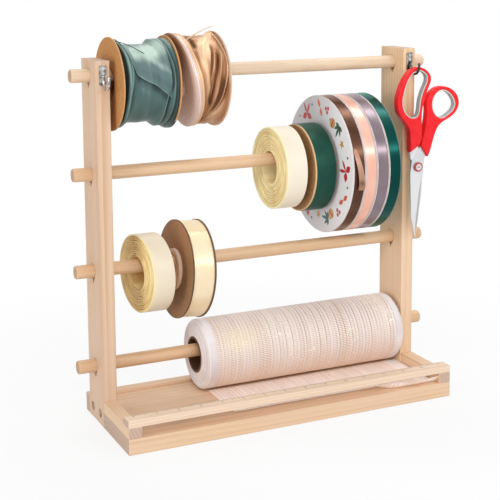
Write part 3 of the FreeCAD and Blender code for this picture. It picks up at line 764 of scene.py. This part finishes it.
folds = [([(-45, -80.6), (0, -80.4), (20, -80.7), (38, -82.0), (52, -79.0), (65, -72), (80, -64), (95, -58)],
          2.4, 4.6),
         ([(-6, -78.0), (10, -74.9), (24, -71.1), (37, -68.3)], 1.5, 1.3),
         ([(-45, -75.5), (-17, -70.2), (4, -66.5), (23, -62.8), (36, -60.0)], 1.6, 1.9)]
creases = [([(-20, -77.9), (5, -76.4), (27, -72.4), (44, -69.0)], 1.5, 1.4),
           ([(-24, -75.2), (5, -70.7), (23.5, -66.4), (37, -63.6)], 1.6, 1.7)]


def champagne_place(share, degrees, radius):
    """The first columns run between the leaning disc and the last of the stacked edges."""
    left = flange_middle - flange_slope * radius * math.sin(math.radians(degrees))
    if radius < 40:
        return left if share < 0.5 else champagne_right
    last = line_at(last_edge, degrees)
    if share < stacked:
        return left + (last - left) * share / stacked
    return last + (champagne_right - last) * (share - stacked) / (1 - stacked)


def strength(line, x, degrees):
    """How much of a fold or crease is at this place, fading at its ends."""
    knots, width = line[0], line[2]
    first, last = knots[0][0], knots[-1][0]
    shown = plateau(degrees, first - fold_fade, first, last, last + fold_fade)
    return bump(x - line_at(knots, degrees), width) * shown


def stack_share(x, degrees):
    """0 at the leaning disc, 1 at the last of the stacked edges, more beyond it."""
    left = champagne_place(0, degrees, champagne_rim)
    return (x - left) / (line_at(last_edge, degrees) - left)


def champagne_height(x, degrees):
    hidden = smooth(abs(degrees - 15), 70, 100)
    stack = stack_share(x, degrees)
    height = champagne_waist
    for fold in folds:
        height += fold[1] * strength(fold, x, degrees)
    for crease in creases:
        height -= crease[1] * strength(crease, x, degrees)
    seam = x - line_at(selvedge, degrees)
    height += (0.9 * bump(seam + 0.6, 1.0) - 1.5 * bump(seam - 1.8, 1.4)) * (1 - hidden)
    height += 2.6 * smooth(seam, 1.5, 6) * (1 - hidden) + 3.3 * smooth(x, -60, -55.6)
    height -= 2.8 * bump(x + 87.4, 2.2) * plateau(degrees, 44, 56, 76, 90)
    height += hidden * (1.6 * ripple(x * 1.3 + degrees * 0.3, degrees * 0.3, 9, 11) + 1.4)
    height += 0.25 * ripple(x, degrees, 12, 5)
    if stack < 1.0:
        terrace = stack * 5 % 1
        height = 52.2 + 0.45 * smooth(terrace, 0.75, 1.0) - 0.45 * smooth(terrace, 0.0, 0.08)
        height -= 0.6 * (1 - smooth(stack, 0, 0.12))
    else:
        height += (51.6 - height) * (1 - smooth(x - line_at(last_edge, degrees), 0, 1.6))
    return min(height, champagne_crest)


def champagne_tint(x, degrees):
    """Painted light and shade: pale (1) on the crests of the folds and along the wired edge, dark (-1) in
    the creases, in the pocket low down and in the valley by the leaning disc.
    """
    seam = x - line_at(selvedge, degrees)
    tint = (0.85 * smooth(degrees, 8, 38) + 0.3) * strength(folds[0], x, degrees)
    tint += 0.8 * bump(x + 75, 6.5) * bump(degrees - 50, 20)
    tint += 0.45 * strength(folds[1], x, degrees) + 0.30 * strength(folds[2], x, degrees)
    for crease in creases:
        tint -= 0.95 * strength(crease, x, degrees)
    tint += 0.20 * smooth(degrees, 25, 60)
    past_fold = x - line_at(folds[2][0], degrees)
    tint -= bump(degrees + 12, 26) * smooth(past_fold, 0.5, 3) * (1 - smooth(seam, -1.6, -0.4))
    tint -= 0.45 * smooth(-degrees, 12, 40) * (1 - smooth(seam, -1, 0)) + 0.55 * bump(seam - 1.4, 0.9)
    tint += 1.3 * bump(seam, 0.5) * smooth(degrees, -60, -45) + 0.20 * smooth(seam, 2, 4)
    tint -= 1.6 * bump(x + 87.6, 1.9) * plateau(degrees, 44, 56, 80, 95)
    return clamped(tint + 0.35 * ripple(x * 1.5, degrees * 0.25, 9, 7))


def satin(name, deep, bright, metallic, polish, gloss=(1, 1, 1), shine=0.5):
    """Polyester satin: smooth, with slow changes of tone and polish."""
    place = material(name)
    drift = grain(place, 45)
    tone = mix(between(drift, 0.35, 0.65), deep, bright)
    rough = between(drift, 0.3, 0.7, polish, polish + 0.03)
    return surface(place, tone, rough, Metallic=metallic, Specular_Tint=(*gloss, 1),
                   Specular_IOR_Level=shine)


place = material("champagne_satin")
drift = grain(place, 60, (1, 0.4, 0.4))
# Painted light and shade: the painted shading lifts the tone to bright gold where positive and darkens it
# towards black where negative.
tint = painted(place, "tint") + (drift - 0.5) * 0.6
tone = mix(between(tint, 0, 0.9), (0.35, 0.165, 0.078), (0.80, 0.530, 0.325))
tone = mix(between(0 - tint, 0, 0.9), tone, (0.100, 0.034, 0.015))
edge_colours = [(0.0, (0.55, 0.42, 0.42)), (0.10, (0.80, 0.68, 0.72)), (0.34, (0.85, 0.74, 0.72)),
                (0.42, (0.62, 0.36, 0.22)), (0.50, (0.86, 0.64, 0.49)), (0.63, (0.64, 0.34, 0.18)),
                (0.76, (0.88, 0.62, 0.42)), (0.88, (0.60, 0.31, 0.15)), (0.97, (0.34, 0.15, 0.07))]
stack = painted(place, "stack")
edges = place.node("ValToRGB", {0: stack})
ramp = edges.socket.node.color_ramp.elements
while len(ramp) < len(edge_colours):
    ramp.new(0.5)
for stop, (position, colour) in zip(ramp, edge_colours):
    stop.position = position
    stop.color = (*colour, 1)
tone = mix(between(stack, 0.98, 1.02), edges, tone)
champagne_look = surface(place, tone, between(drift, 0.3, 0.7, 0.38, 0.43), Metallic=0.3,
                         Specular_Tint=(1.0, 0.72, 0.50, 1), Specular_IOR_Level=0.4)
wound("champagne_ribbon", "champagne_spool", "champagne_satin", champagne_look, 120, 240, champagne_height,
      x_at=champagne_place, tint=champagne_tint, stack=stack_share)

gold_edge_look = satin("champagne_selvedge", (0.54, 0.32, 0.18), (0.74, 0.50, 0.32), 0.2, 0.3)
rim_edge = [(-180, -55.8), (180, -55.8)]
edge_paths = [round_path(champagne_axis, selvedge, champagne_height, range(-54, 96, 3)),
              round_path(champagne_axis, rim_edge, champagne_height, range(-180, 181, 4))]
thread("champagne_wired_edges", edge_paths, hem_radius, "champagne_spool", gold_edge_look)
end_bends = [(-90, 22, 425.5), (-84.5, 21, 429.2), (-79, 20, 432.6), (-72.1, 20, 435.8), (-65.7, 20, 438.0),
             (-59.3, 20, 439.8)]
end_path = [Vector(bend) * mm for bend in end_bends]
thread("champagne_wire_end", [end_path], 1.0, "champagne_spool", gold_edge_look, 0.25)

# ---- Ribbon coils
# Two rolls of cream ribbon, wound on themselves with no core. Some turns stand a little in
# or out of line, so the ends show rings; the rings look yellower than the satin outside.


def coil(node, body, look, bore, turns, sunk, seed, askew=0.0):
    """One long strip, wound from the bore out, with a narrow gap between its turns. Askew slants the
    roll: this much further right for each millimetre to the front."""
    low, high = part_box(node)
    axis, outer = round_in_mm(node)
    pitch = (outer - bore) / (turns + 1)
    steps = 72
    pick = random.Random(seed)
    slips = [pick.choice((-1, 1)) * pick.uniform(0.2, 0.8) for turn in range(turns + 3)]
    points = []
    for i in range(turns * steps + steps + 1):
        turn = i / steps
        slip = slips[int(turn)] + (slips[int(turn) + 1] - slips[int(turn)]) * smooth(turn % 1, 0.7, 1)
        inward = (1 - turn / (turns + 1)) ** 1.6
        x0 = low.x / mm + 0.8 + slip * (1 if turn < turns - 1 else 0.2) + sunk * inward
        x1 = high.x / mm - 0.9 + slip * 0.5 + 0.3 * sunk * inward
        radius = bore + pitch * min(turn, turns) + 0.22 * ripple(seed, i * 360 / steps, 14, turn) * inward
        thick = pitch * (0.74 if turn < turns else 0.9)
        degrees = 360 * turn + seed * 40
        slant = askew * radius * math.cos(math.radians(degrees))
        for x, depth in ((x0 + 0.35, thick), (x0, thick - 0.35), (x0, 0.4), (x0 + 0.35, 0.1), (x1, 0.1),
                         (x1, thick)):
            points.append(on_spool(axis, x + slant, radius + depth, degrees))
    faces = grid(turns * steps + steps + 1, 6, False, True)
    faces += [tuple(range(6)), tuple(range(len(points) - 6, len(points)))]
    return shaped(node + "_turns", points, faces, body, look, [node], 60)


def coil_look(name, node, side, side_dark, outside, rim):
    """Cream satin outside, yellow edges with thin shadows between them, and a bright outermost edge."""
    place = material(name)
    reach, angle = from_axis(place, node)[:2]
    radius = axis_of(node)[2]
    stain = grain(place, 60, detail=3.0)
    rings = grain(place.node("CombineXYZ", {0: reach, 1: angle * 0.002}), 620, detail=1.0)
    edges = mix(between(rings, 0.36, 0.62), side_dark, side)
    edges = mix(between(stain, 0.4, 0.7) * 0.35, edges, side_dark)
    edges = mix(between(reach, radius - 0.0030, radius - 0.0018), edges, rim)
    sideways = facing(place, along_x)
    outer = between(sideways, 0.25, 0.6, 1.0, 0.0) * between(reach, radius - 0.0032, radius - 0.0024)
    rib = grain(place, 1400, (0.15, 1, 1))
    return surface(place, mix(outer, edges, outside), between(stain, 0.3, 0.7, 0.42, 0.5), rib, 0.000003)


ivory_look = coil_look("ivory_satin", "ivory_coil", (1.0, 0.89, 0.52), (0.88, 0.69, 0.33),
                       (0.84, 0.755, 0.61), (0.98, 0.90, 0.50))
cream_look = coil_look("cream_satin", "cream_coil", (1.0, 0.82, 0.42), (0.79, 0.57, 0.24),
                       (0.78, 0.680, 0.52), (0.98, 0.84, 0.40))
coil("ivory_coil", "ivory_coil", ivory_look, 18.0, 13, 0.5, 3)
coil("cream_coil", "cream_coil", cream_look, 17.0, 12, 0.5, 5, 0.115)

# ---- Plain ribbon drums
# Dark green and gold ribbon on card spools. The turns are level, and the ribbon's end lies
# flat on the turn below. The gold ribbon's spool leans on its rod.


def level_turns(low, high, radius, unevenness, end_angle, seed, spill=0.0):
    """Places and heights for neatly wound ribbon: rounded edges, and one low step at the ribbon's end.
    Spill is how far its right edge has slipped over the disc."""
    left = low.x / mm
    width = (high.x - low.x) / mm

    def place(share, degrees, reach):
        if reach < 32:
            return left + share * width
        return left + (share - 0.06 * math.sin(2 * math.pi * share)) * (width + spill)

    def height(x, degrees):
        edge = min(x - left, left + width + spill - x)
        round_off = 0.5 * (1 - smooth(edge, 0, 0.7))
        step = 0.3 * plateau((degrees - end_angle) % 360, 0, 3, 357, 360)
        return radius - 0.3 - round_off + step + unevenness * ripple(x, degrees, 10, seed)
    return dict(radius_at=height, x_at=place, box=(low, high))


band_columns = 28
green_look = satin("green_satin", (0.012, 0.058, 0.040), (0.015, 0.070, 0.047), 0.1, 0.42, (0.4, 0.9, 0.75),
                   0.25)
gold_look = satin("gold_satin", (0.86, 0.69, 0.43), (0.90, 0.75, 0.52), 0.2, 0.30)
green_radius = round_in_mm("green_ribbon")[1] + 1.1
wound("green_ribbon", "green_spool", "green_satin", green_look, band_columns, 144, bore=23,
      **level_turns(*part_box("green_ribbon"), green_radius, 0.12, 200, 1, 1.7))

disc_middles = [sum(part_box(node), Vector()) / 2 for node in ("kraft_left_flange", "kraft_right_flange")]
kraft_middle = (disc_middles[0] + disc_middles[1]) / 2
along_tube = disc_middles[1] - disc_middles[0]
lean_over = Matrix.Rotation(math.atan2(-along_tube.z, along_tube.x), 4, "Y")
gold_radius = round_in_mm("kraft_left_flange")[1] - 0.9
gold_room = Vector((along_tube.length / 2 - 0.8 * mm, gold_radius * mm, gold_radius * mm))
gold_level = level_turns(kraft_middle - gold_room, kraft_middle + gold_room, gold_radius, 0.08, 215, 2)
gold_turns = wound("kraft_ribbon", "kraft_spool", "gold_satin", gold_look, band_columns, 144, bore=24,
                   **gold_level)
gold_turns.data.transform(Matrix.Translation(kraft_middle) @ lean_over @ Matrix.Translation(-kraft_middle))

# ---- Satin spools
# Four reels of 12.7 mm satin ribbon: thin moulded discs of milky plastic, with copper, peach,
# mauve and teal ribbon wound level with their rims. The teal shows through its clear outer disc.


def milky_plastic(name, node, outer_disc):
    place = material(name)
    swirl = grain(place, 90, detail=3.0)
    rub = grain(place, 900)
    tone = mix(between(swirl, 0.35, 0.65), (0.62, 0.53, 0.51), (0.76, 0.70, 0.68))
    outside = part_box(node)[1].x
    tone = mix(between(place.part(0), outside - 0.0012, outside - 0.0009), tone, outer_disc)
    return surface(place, tone, between(rub, 0.3, 0.7, 0.3, 0.42), rub, 0.00001)


satin_colours = dict(
    copper=((0.082, 0.034, 0.021), (0.112, 0.050, 0.032), 0.5, (1.0, 0.68, 0.52), 0.35),
    peach=((0.82, 0.44, 0.33), (0.87, 0.50, 0.39), 0.15, (1.0, 1.0, 1.0), 0.5),
    mauve=((0.20, 0.15, 0.175), (0.23, 0.175, 0.20), 0.4, (1.0, 0.95, 1.0), 0.5),
    teal=((0.002, 0.036, 0.031), (0.003, 0.044, 0.038), 0.45, (0.15, 1.0, 0.85), 0.4))
for place_in_row, (name, (deep, bright, metallic, gloss, shine)) in enumerate(satin_colours.items()):
    node = name + "_ribbon"
    look = satin(name + "_satin", deep, bright, metallic, 0.22, gloss, shine)
    radius = round_in_mm(node)[1] + 1.2
    turns = level_turns(*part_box(node), radius, 0.05, 190 + 20 * place_in_row, place_in_row)
    wound(node, name + "_spool", name + "_satin", look, band_columns, 180, bore=30, **turns)
    outer_disc = (0.10, 0.17, 0.16) if name == "teal" else (0.66, 0.58, 0.56)
    finish(milky_plastic(name + "_discs", name + "_spool", outer_disc), name + "_spool")

# ---- Printed card
# A round white card on the outer face of the first reel, printed in festive colours with
# sprigs, berries, bows, stars and dots.
place = material("printed_card")
tooth = grain(place, 1200)
shade = grain(place, 18, offset=(3, 1, 8))
card_tone = mix(between(shade, 0.4, 0.7) * 0.5, (0.80, 0.78, 0.80), (0.70, 0.68, 0.71))
# Painted light and shade: whiter towards the front of the reel and greyer away from it.
front_painted_light = between(place.maths("COSINE", from_axis(place, "printed_card")[1]), 0.1, 0.9)
card_tone = mix(front_painted_light, mix(0.35, card_tone, (0.50, 0.47, 0.48)), (0.90, 0.89, 0.91))
finish(surface(place, card_tone, 0.42, tooth, 0.00001), "printed_card")
card_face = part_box("printed_card")[0].x
card_y, card_z = axis_of("printed_card")[:2]
ink_colours = [(0.52, 0.010, 0.016), (0.66, 0.105, 0.035), (0.56, 0.31, 0.060), (0.030, 0.11, 0.060),
               (0.055, 0.050, 0.16), (0.40, 0.24, 0.22)]
inks = []
for number, ink in enumerate(ink_colours):
    place = material("ink_%d" % number)
    dots = grain(place, 1500)
    ink_tone = mix(between(dots, 0.4, 0.7) * 0.3, ink, tuple(0.5 * part + 0.25 for part in ink))
    inks.append(surface(place, ink_tone, 0.4, dots, 0.000005))
red, orange, gold, green, navy, pink = range(6)
print_size = 1.3 * mm


def printed(outline, spin, radius, degrees, ink):
    """A flat ink shape: its outline in millimetres, turned by spin, at this place on the card."""
    turn = math.radians(degrees)
    centre_y = card_y - radius * mm * math.cos(turn)
    centre_z = card_z + radius * mm * math.sin(turn)
    cosine, sine = math.cos(math.radians(spin)) * print_size, math.sin(math.radians(spin)) * print_size
    corners = [(card_face, centre_y - (u * cosine - v * sine), centre_z + u * sine + v * cosine)
               for u, v in outline]
    depth = 0.00004 if ink != red else 0.00006
    return slab(corners, (-depth, 0, 0)), ink


def round_shape(size, count=14, u=0.0, v=0.0):
    return [(u + size * math.cos(2 * math.pi * k / count), v + size * math.sin(2 * math.pi * k / count))
            for k in range(count)]


def leaf_shape(length, width, lean, u=0.0):
    side = [(length * t / 6, width / 2 * math.sin(math.pi * t / 6)) for t in range(7)]
    shape = side + [(along, -across) for along, across in side[-2:0:-1]]
    cosine, sine = math.cos(math.radians(lean)), math.sin(math.radians(lean))
    return [(u + a * cosine - b * sine, a * sine + b * cosine) for a, b in shape]


star_shape = []
for k in range(10):
    tip = 4.6 if k % 2 == 0 else 2.0
    star_shape.append((tip * math.sin(math.pi * k / 5), tip * math.cos(math.pi * k / 5)))
sprig_leaves = ((0, 13), (38, 10), (-38, 10), (75, 7), (-75, 7))
bow_leaves = ((25, 9.5, 6.0), (155, 9.5, 6.0), (-60, 12.0, 3.2), (-118, 12.0, 3.2))
motifs = dict(
    bow=[(leaf_shape(length, width, lean), red) for lean, length, width in bow_leaves],
    dot=[(round_shape(1.3, 10), navy)],
    star=[(star_shape, gold)],
    sprig=[(leaf_shape(length, 3.2, lean, -5), green) for lean, length in sprig_leaves],
    bauble=[(round_shape(4.8), gold), ([(-1.2, 4.4), (1.2, 4.4), (1.2, 6.4), (-1.2, 6.4)], pink),
            ([(-4.4, -0.7), (4.4, -0.7), (4.4, 0.9), (-4.4, 0.9)], red)],
    berries=[(round_shape(1.9, 12, u, v), red) for u, v in ((0, 0), (4.2, 0.8), (1.6, 4.0))],
    ribbon=[(leaf_shape(9.0, 4.4, lean), orange) for lean in (0, 172)],
    red_dot=[(round_shape(1.3, 10), red)])
ring = ["bow", "dot", "star", "sprig", "bauble", "berries", "ribbon", "dot"]
prints = []
layout = random.Random(12)
for place_in_ring in range(24):
    motif = ring[place_in_ring % len(ring)]
    degrees = 360 * place_in_ring / 24 + layout.uniform(-2, 2)
    radius = (64 if motif in ("bow", "sprig") else 71 if place_in_ring % 2 else 62) + layout.uniform(-1, 1)
    spin = layout.uniform(0, 360)
    if motif == "ribbon":
        radius = 68
    if motif == "dot" and place_in_ring % 3 == 0:
        motif = "red_dot"
    prints += [printed(outline, spin, radius, degrees, ink) for outline, ink in motifs[motif]]
join("card_print", prints, "copper_spool", "printed_paper", *inks)

# ---- Copper ribbon's loose end
# The last of the copper ribbon has sprung off its reel at the front and hangs beside the rim,
# with its tip folded back. Painted shade darkens the ribbon where the tip folds back over it.
copper_axis = round_in_mm("copper_ribbon")[0]
place = material("copper_tail_satin")
drift = grain(place, 45)
tail_tone = mix(between(drift, 0.35, 0.65), (0.38, 0.185, 0.115), (0.46, 0.240, 0.155))
# Painted shade where the tip folds back over the ribbon.
tail_tone = mix(painted(place, "fold_shadow"), tail_tone, (0.13, 0.055, 0.030))
tail_look = surface(place, tail_tone, between(drift, 0.3, 0.7, 0.34, 0.40), Metallic=0.2)
tail_fold_shadows = []
tail_points = []
tail_rows = 26
tail_columns = 6
tail_start = 26
tail_end = -13
curl_start = 0.86
for i in range(tail_rows + 1):
    share = i / tail_rows
    if share < curl_start:
        degrees = tail_start + (tail_end - tail_start) * share / curl_start
        lift = 81.0 + 3.7 * smooth(share, 0, 0.6)
    else:
        curl = (share - curl_start) / (1 - curl_start)
        degrees = tail_end + 2.4 * curl - 1.1 * math.sin(math.pi * curl)
        lift = 84.7 - 1.3 * math.sin(math.pi * curl / 2) - 0.5 * curl
    left = 85.4 + 4.6 * smooth(share, 0.1, curl_start)
    right = 90.5 + 7.6 * smooth(share, 0.0, 0.9)
    for j in range(tail_columns + 1):
        cup = 0.35 * math.sin(math.pi * j / tail_columns)
        x = left + (right - left) * j / tail_columns
        tail_points.append(on_spool(copper_axis, x, lift + cup, degrees))
        tail_fold_shadows.append(0.9 * bump(share - 0.735, 0.055) * bump(j - 3, 3.2))
tail = shaped("copper_loose_end", tail_points, grid(tail_rows + 1, tail_columns + 1), "copper_spool",
              tail_look, ["copper_tail"], paints={"fold_shadow": tail_fold_shadows})

# ---- Deco mesh roll
# Ten inch wide mesh of white and pale pink tape with gold foil threads, rolled on a card
# tube. The plain borders of its turns stack up as soft white ends.
mesh_low, mesh_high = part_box("mesh_roll")
mesh_axis, mesh_radius = round_in_mm("mesh_roll")
mesh_left = mesh_low.x / mm
mesh_width = (mesh_high.x - mesh_low.x) / mm
tape_repeat = 0.0088
ladder_repeat = 0.00176
rung_repeat = 0.0021
sway_reach = 0.0016
turn_waves = 3300
border = 0.013


def band_at(value, middle, width, core=0.0):
    """1 at this value of a signal, or nearer than core to it, fading to nothing at this distance."""
    return between(abs(value - middle), core, width, 1.0, 0.0)


def deco_mesh(name, round_roll, cloth, gold, tape_tone, tape_share, foil_share):
    """Flat tapes, and a ladder of gold weft between dark foil threads. The loose web is see-through.
    Painted light: glints and a golden sheen at the roll's upper left, a warm reflection and shade
    low on the roll, and a faint glow in the web.
    """
    place = material(name)
    reach, angle, x = from_axis(place, "mesh_roll")
    run = angle * (mesh_radius * mm) if round_roll else place.part(1)
    along = (1, 0.12, 0.12) if round_roll else (1, 0.3, 1)
    sway = grain(place, 30, (0.4, 1, 1))
    swayed = x + sway_reach * sway
    band = place.maths("FRACT", swayed / tape_repeat)
    lane = grain(place.node("CombineXYZ", {0: swayed}), 110, detail=1.0)
    tape = band_at(band, 0.14, 0.13, 0.07) * between(lane, 0.34, 0.62, 0.15, 1.0)
    tape = tape + band_at(band, 0.62, 0.07, 0.035) * between(lane, 0.4, 0.6, 0.8, 0.1)
    column = band_at(place.maths("FRACT", swayed / ladder_repeat), 0.5, 0.45, 0.30)
    dash = between(place.maths("SINE", run * (2 * math.pi / rung_repeat)), -0.2, 0.7)
    vary = grain(place, 42, along, offset=(2, 6, 1))
    patchy = grain(place, 100, along, offset=(7, 3, 3))
    foil_line = band_at(band, 0.32, 0.065, 0.025) + band_at(band, 0.83, 0.045, 0.020) * 0.6
    foil = foil_line * between(patchy, 0.36, 0.54)
    if round_roll:
        foil = foil * between(angle, -0.3, 0.5, 0.35, 1.0) * between(x, -0.08, 0.10, 0.5, 1.0)
    woven = mix(dash * column * between(vary, 0.3, 0.62, 1.0, 0.5), cloth, gold)
    tone = mix(tape * tape_share, woven, tape_tone)
    tone = mix(foil * foil_share, tone, mix(patchy, (0.36, 0.20, 0.09), (0.18, 0.13, 0.13)))
    # Painted glints and sheen: bright glints of glitter, gathered at the upper left of the roll, and a
    # golden sheen there.
    glitter = grain(place, 620, detail=1.0, offset=(4, 4, 4))
    glint_patch = between(grain(place, 26, offset=(8, 2, 2)), 0.50, 0.62)
    if round_roll:
        glint_patch = glint_patch + band_at(x, -0.040, 0.030) * band_at(angle, 0.55, 0.5)
        golden = band_at(x, -0.035, 0.04) * band_at(angle, 0.6, 0.6) * 0.5
        tone = mix(golden, tone, mix(patchy, (0.86, 0.62, 0.30), (0.95, 0.84, 0.62)))
    glint = between(glitter, 0.58, 0.68) * glint_patch
    tone = mix(glint * (1 - tape), tone, (1.0, 0.93, 0.74))
    inner = between(x, mesh_low.x + border - 0.002, mesh_low.x + border + 0.002)
    inner = inner * between(x, mesh_high.x - border - 0.001, mesh_high.x - border + 0.002, 1.0, 0.0)
    if round_roll:
        turns = between(place.maths("SINE", reach * turn_waves + angle), -0.6, 0.9)
        plain = mix(turns * between(sway, 0.35, 0.6, 0.15, 0.6), (0.88, 0.83, 0.84), (0.66, 0.56, 0.57))
        inner = inner * between(reach, (mesh_radius - 1.9) * mm, (mesh_radius - 1.2) * mm)
        # Painted reflection and shade: a warm peach tone towards the bottom of the roll, from the wood
        # below.
        tone = mix(between(angle, -1.0, 0.15, 0.42, 0.0), tone, (0.80, 0.50, 0.31))
        alpha = 1.0
    else:
        plain = mix(dash * 0.3, (1.0, 0.93, 0.90), (0.90, 0.74, 0.66))
        alpha = between(dash * column + tape * 0.8 + foil_line, 0.0, 1.0, 0.78, 0.98)
    tone = mix(inner, plain, tone)
    relief = foil_line * 0.5 + dash * column * 0.5
    # Painted light: the web glows a little, for light passing through the sheer mesh.
    return surface(place, tone, between(dash, 0, 1, 0.55, 0.45), relief, 0.00012, Alpha=alpha,
                   Metallic=(glint * inner) * 0.4, Emission_Color=tone,
                   Emission_Strength=0.0 if round_roll else 0.12)


core_reach = 21.2
end_cone = 1.4
shoulder = 5.2
end_steps = 26
shoulder_steps = 8
body_steps = 60
body_start = end_cone + shoulder
profile = []
for k in range(end_steps + 1):
    share = k / end_steps
    profile.append((end_cone * share ** 1.4, core_reach + (mesh_radius - core_reach - shoulder) * share))
for k in range(1, shoulder_steps + 1):
    turn = math.pi / 2 * k / shoulder_steps
    step = end_cone + shoulder * (1 - math.cos(turn))
    profile.append((step, mesh_radius - shoulder + shoulder * math.sin(turn)))
roll_line = list(profile)
roll_line += [(body_start + (mesh_width - 2 * body_start) * k / body_steps, mesh_radius)
              for k in range(1, body_steps)]
roll_line += [(mesh_width - step, radius) for step, radius in reversed(profile)]
roll_points = []
roll_steps = 160
for i in range(roll_steps):
    degrees = -180 + 360 * i / roll_steps
    for step, radius in roll_line:
        x = mesh_left + step
        if min(step, mesh_width - step) <= end_cone and radius <= mesh_radius - shoulder:
            turns = (radius - core_reach) / 2.9 + degrees / 360
            inset = 0.5 + 0.5 * math.sin(2 * math.pi * turns) + 0.7 * ripple(radius, degrees, 9, 2)
            inset *= plateau(radius, core_reach, core_reach + 2, mesh_radius - 6, mesh_radius - shoulder)
            x += inset if step < mesh_width / 2 else -inset
            slack = 0
        else:
            slack = -0.30 + 0.30 * ripple(x * 0.4, degrees, 18, 3)
        roll_points.append(on_spool(mesh_axis, x, min(radius + slack, mesh_radius), degrees))
mesh_look = deco_mesh("deco_mesh", True, (0.88, 0.77, 0.71), (0.48, 0.235, 0.085), (0.86, 0.80, 0.84),
                      0.85, 0.9)
roll_faces = grid(roll_steps, len(roll_line), True, True)
shaped("mesh_roll_turns", roll_points, roll_faces, "mesh_spool", mesh_look, ["mesh_roll"])

# ---- Mesh web
# The loose end of the mesh leaves the roll underneath, lies on the base board, goes under the
# ruler strip and out of the slot, where its cut edge curls up on the right.
web_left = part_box("mesh_web")[0].x / mm + 1.0
web_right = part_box("mesh_web")[1].x / mm - 0.3
web_back = 22
tray_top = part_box("base_board")[1].z / mm
front_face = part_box("base_board")[0].y / mm
lip_height = [(-80, 18.6), (60, 18.6), (104, 20.0), (124, 28.6), (141, 26.3), (154, 25.0), (166, 26.9),
              (184, 27.4)]
lip_place = [(-80, front_face + 21), (60, front_face + 21), (106, front_face + 17), (124, front_face - 0.6),
             (150, front_face - 2.6), (184, front_face - 2.2)]
web_points = []
web_rows = 60
web_columns = 90
for i in range(web_rows + 1):
    share = i / web_rows
    curl = smooth(share, 0.86, 1.0) ** 1.3
    for j in range(web_columns + 1):
        x = web_left + (web_right - web_left) * j / web_columns
        y = web_back + (line_at(lip_place, x) - web_back) * share
        wave = 0.35 + 0.3 * noise.noise(Vector((x / 22, y / 30, 1.0))) + 0.12 * math.sin(x / 2.8 * math.pi)
        height = tray_top + 0.15 + max(0.05, wave) + (line_at(lip_height, x) - tray_top - 0.5) * curl
        web_points.append(Vector((x, y, height)) * mm)
web_look = deco_mesh("deco_mesh_web", False, (1.0, 0.90, 0.85), (0.86, 0.60, 0.45), (1.0, 0.95, 0.94),
                     0.5, 0.4)
web_faces = grid(web_rows + 1, web_columns + 1)
web = shaped("mesh_loose_web", web_points, web_faces, "rack", web_look, ["mesh_web"])

# ---- Scissors
# Two moulded red handles with soft grey linings, pressed on steel blades that a screw holds
# together. They hang from the right hook by the large finger loop.
place = material("red_plastic")
flow = grain(place, 120)
pits = grain(place, 2200, detail=1.0)
red_tone = mix(between(flow, 0.3, 0.7), (0.86, 0.014, 0.020), (0.91, 0.024, 0.030))
red_plastic = surface(place, red_tone, between(pits, 0.3, 0.7, 0.34, 0.44), pits, 0.00001,
                      Specular_IOR_Level=0.22)
place = material("grey_rubber")
grip = grain(place, 1300)
rubber = mix(between(grip, 0.3, 0.7), (0.34, 0.37, 0.375), (0.42, 0.45, 0.455))
liner_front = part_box("scissors_left_liner")[0].y
# Painted highlight: the front rim of each lining is paler.
front_rim_highlight = between(place.part(1), liner_front + 0.0002, liner_front + 0.0008, 1.0, 0.0)
grey_rubber = surface(place, mix(front_rim_highlight, rubber, (0.62, 0.63, 0.58)), 0.62, grip, 0.00003)
place = material("dark_red_plastic")
scuff = grain(place, 1500)
dark_tone = mix(between(scuff, 0.3, 0.7), (0.46, 0.035, 0.055), (0.56, 0.06, 0.08))
finish(red_plastic, "scissors_left_handle", "scissors_right_handle")
finish(surface(place, dark_tone, 0.4, scuff, 0.00001), "scissors_pivot_ring")
finish(grey_rubber, "scissors_left_liner", "scissors_right_liner")
for name in ("scissors_left_handle", "scissors_right_handle"):
    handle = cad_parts[name]
    skin = handle.modifiers.new("even_skin", "REMESH")
    skin.mode = "VOXEL"
    skin.voxel_size = 0.0006
    skin.use_smooth_shade = True
    soften = handle.modifiers.new("rounded_edges", "SMOOTH")
    soften.factor = 0.5
    soften.iterations = 14


def steel(name, light, dark):
    """Blade steel, brushed across its length."""
    place = material(name)
    brushed = grain(place, 1500, (0.04, 1, 1))
    cloud = grain(place, 40, (1, 1, 0.5))
    tone = mix(between(cloud, 0.35, 0.65), light, dark)
    return surface(place, tone, between(brushed, 0.3, 0.7, 0.28, 0.36), brushed, 0.000001, Metallic=0.85)


pivot_low, pivot_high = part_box("scissors_pivot_screw")
pivot = (pivot_low + pivot_high) / 2
blade_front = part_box("scissors_front_blade")[0].y


def on_blade(name, outline, front, body, look):
    """A thin flat piece in front of the blade: its outline in millimetres from the pivot."""
    corners = [(pivot.x + u * mm, front, pivot.z + v * mm) for u, v in outline]
    return join(name, [(slab(corners, (0, -0.00003, 0)), 0)], body, "blade_steel", look)


finish(steel("blade_steel", (0.76, 0.77, 0.78), (0.66, 0.67, 0.69)), "scissors_front_blade",
       "scissors_rear_blade")
finish(metal("pivot_steel", (0.80, 0.80, 0.80), (0.66, 0.66, 0.66), 0.2, 0.3), "scissors_pivot_screw")
# The ground bevel is a flat, darker copy of the blade steel: painted shade for the angled facet.
bevel = [(4.85, -16), (4.0, -34), (-0.2, -68), (-2.6, -84), (-2.4, -68), (1.4, -34), (3.6, -22)]
slot_bar = [(-2.0, -0.4), (2.0, -0.4), (2.0, 0.4), (-2.0, 0.4)]
on_blade("blade_bevel", bevel, blade_front, "scissors_right_half",
         steel("bevel_steel", (0.46, 0.47, 0.48), (0.40, 0.41, 0.43)))
# The screw's slot is a thin dark plate: painted shade of the recess.
on_blade("pivot_slot", slot_bar, pivot_low.y, "scissors_left_half",
         metal("slot_shadow", (0.10, 0.08, 0.08), (0.20, 0.16, 0.16), 0.4, 0.6))
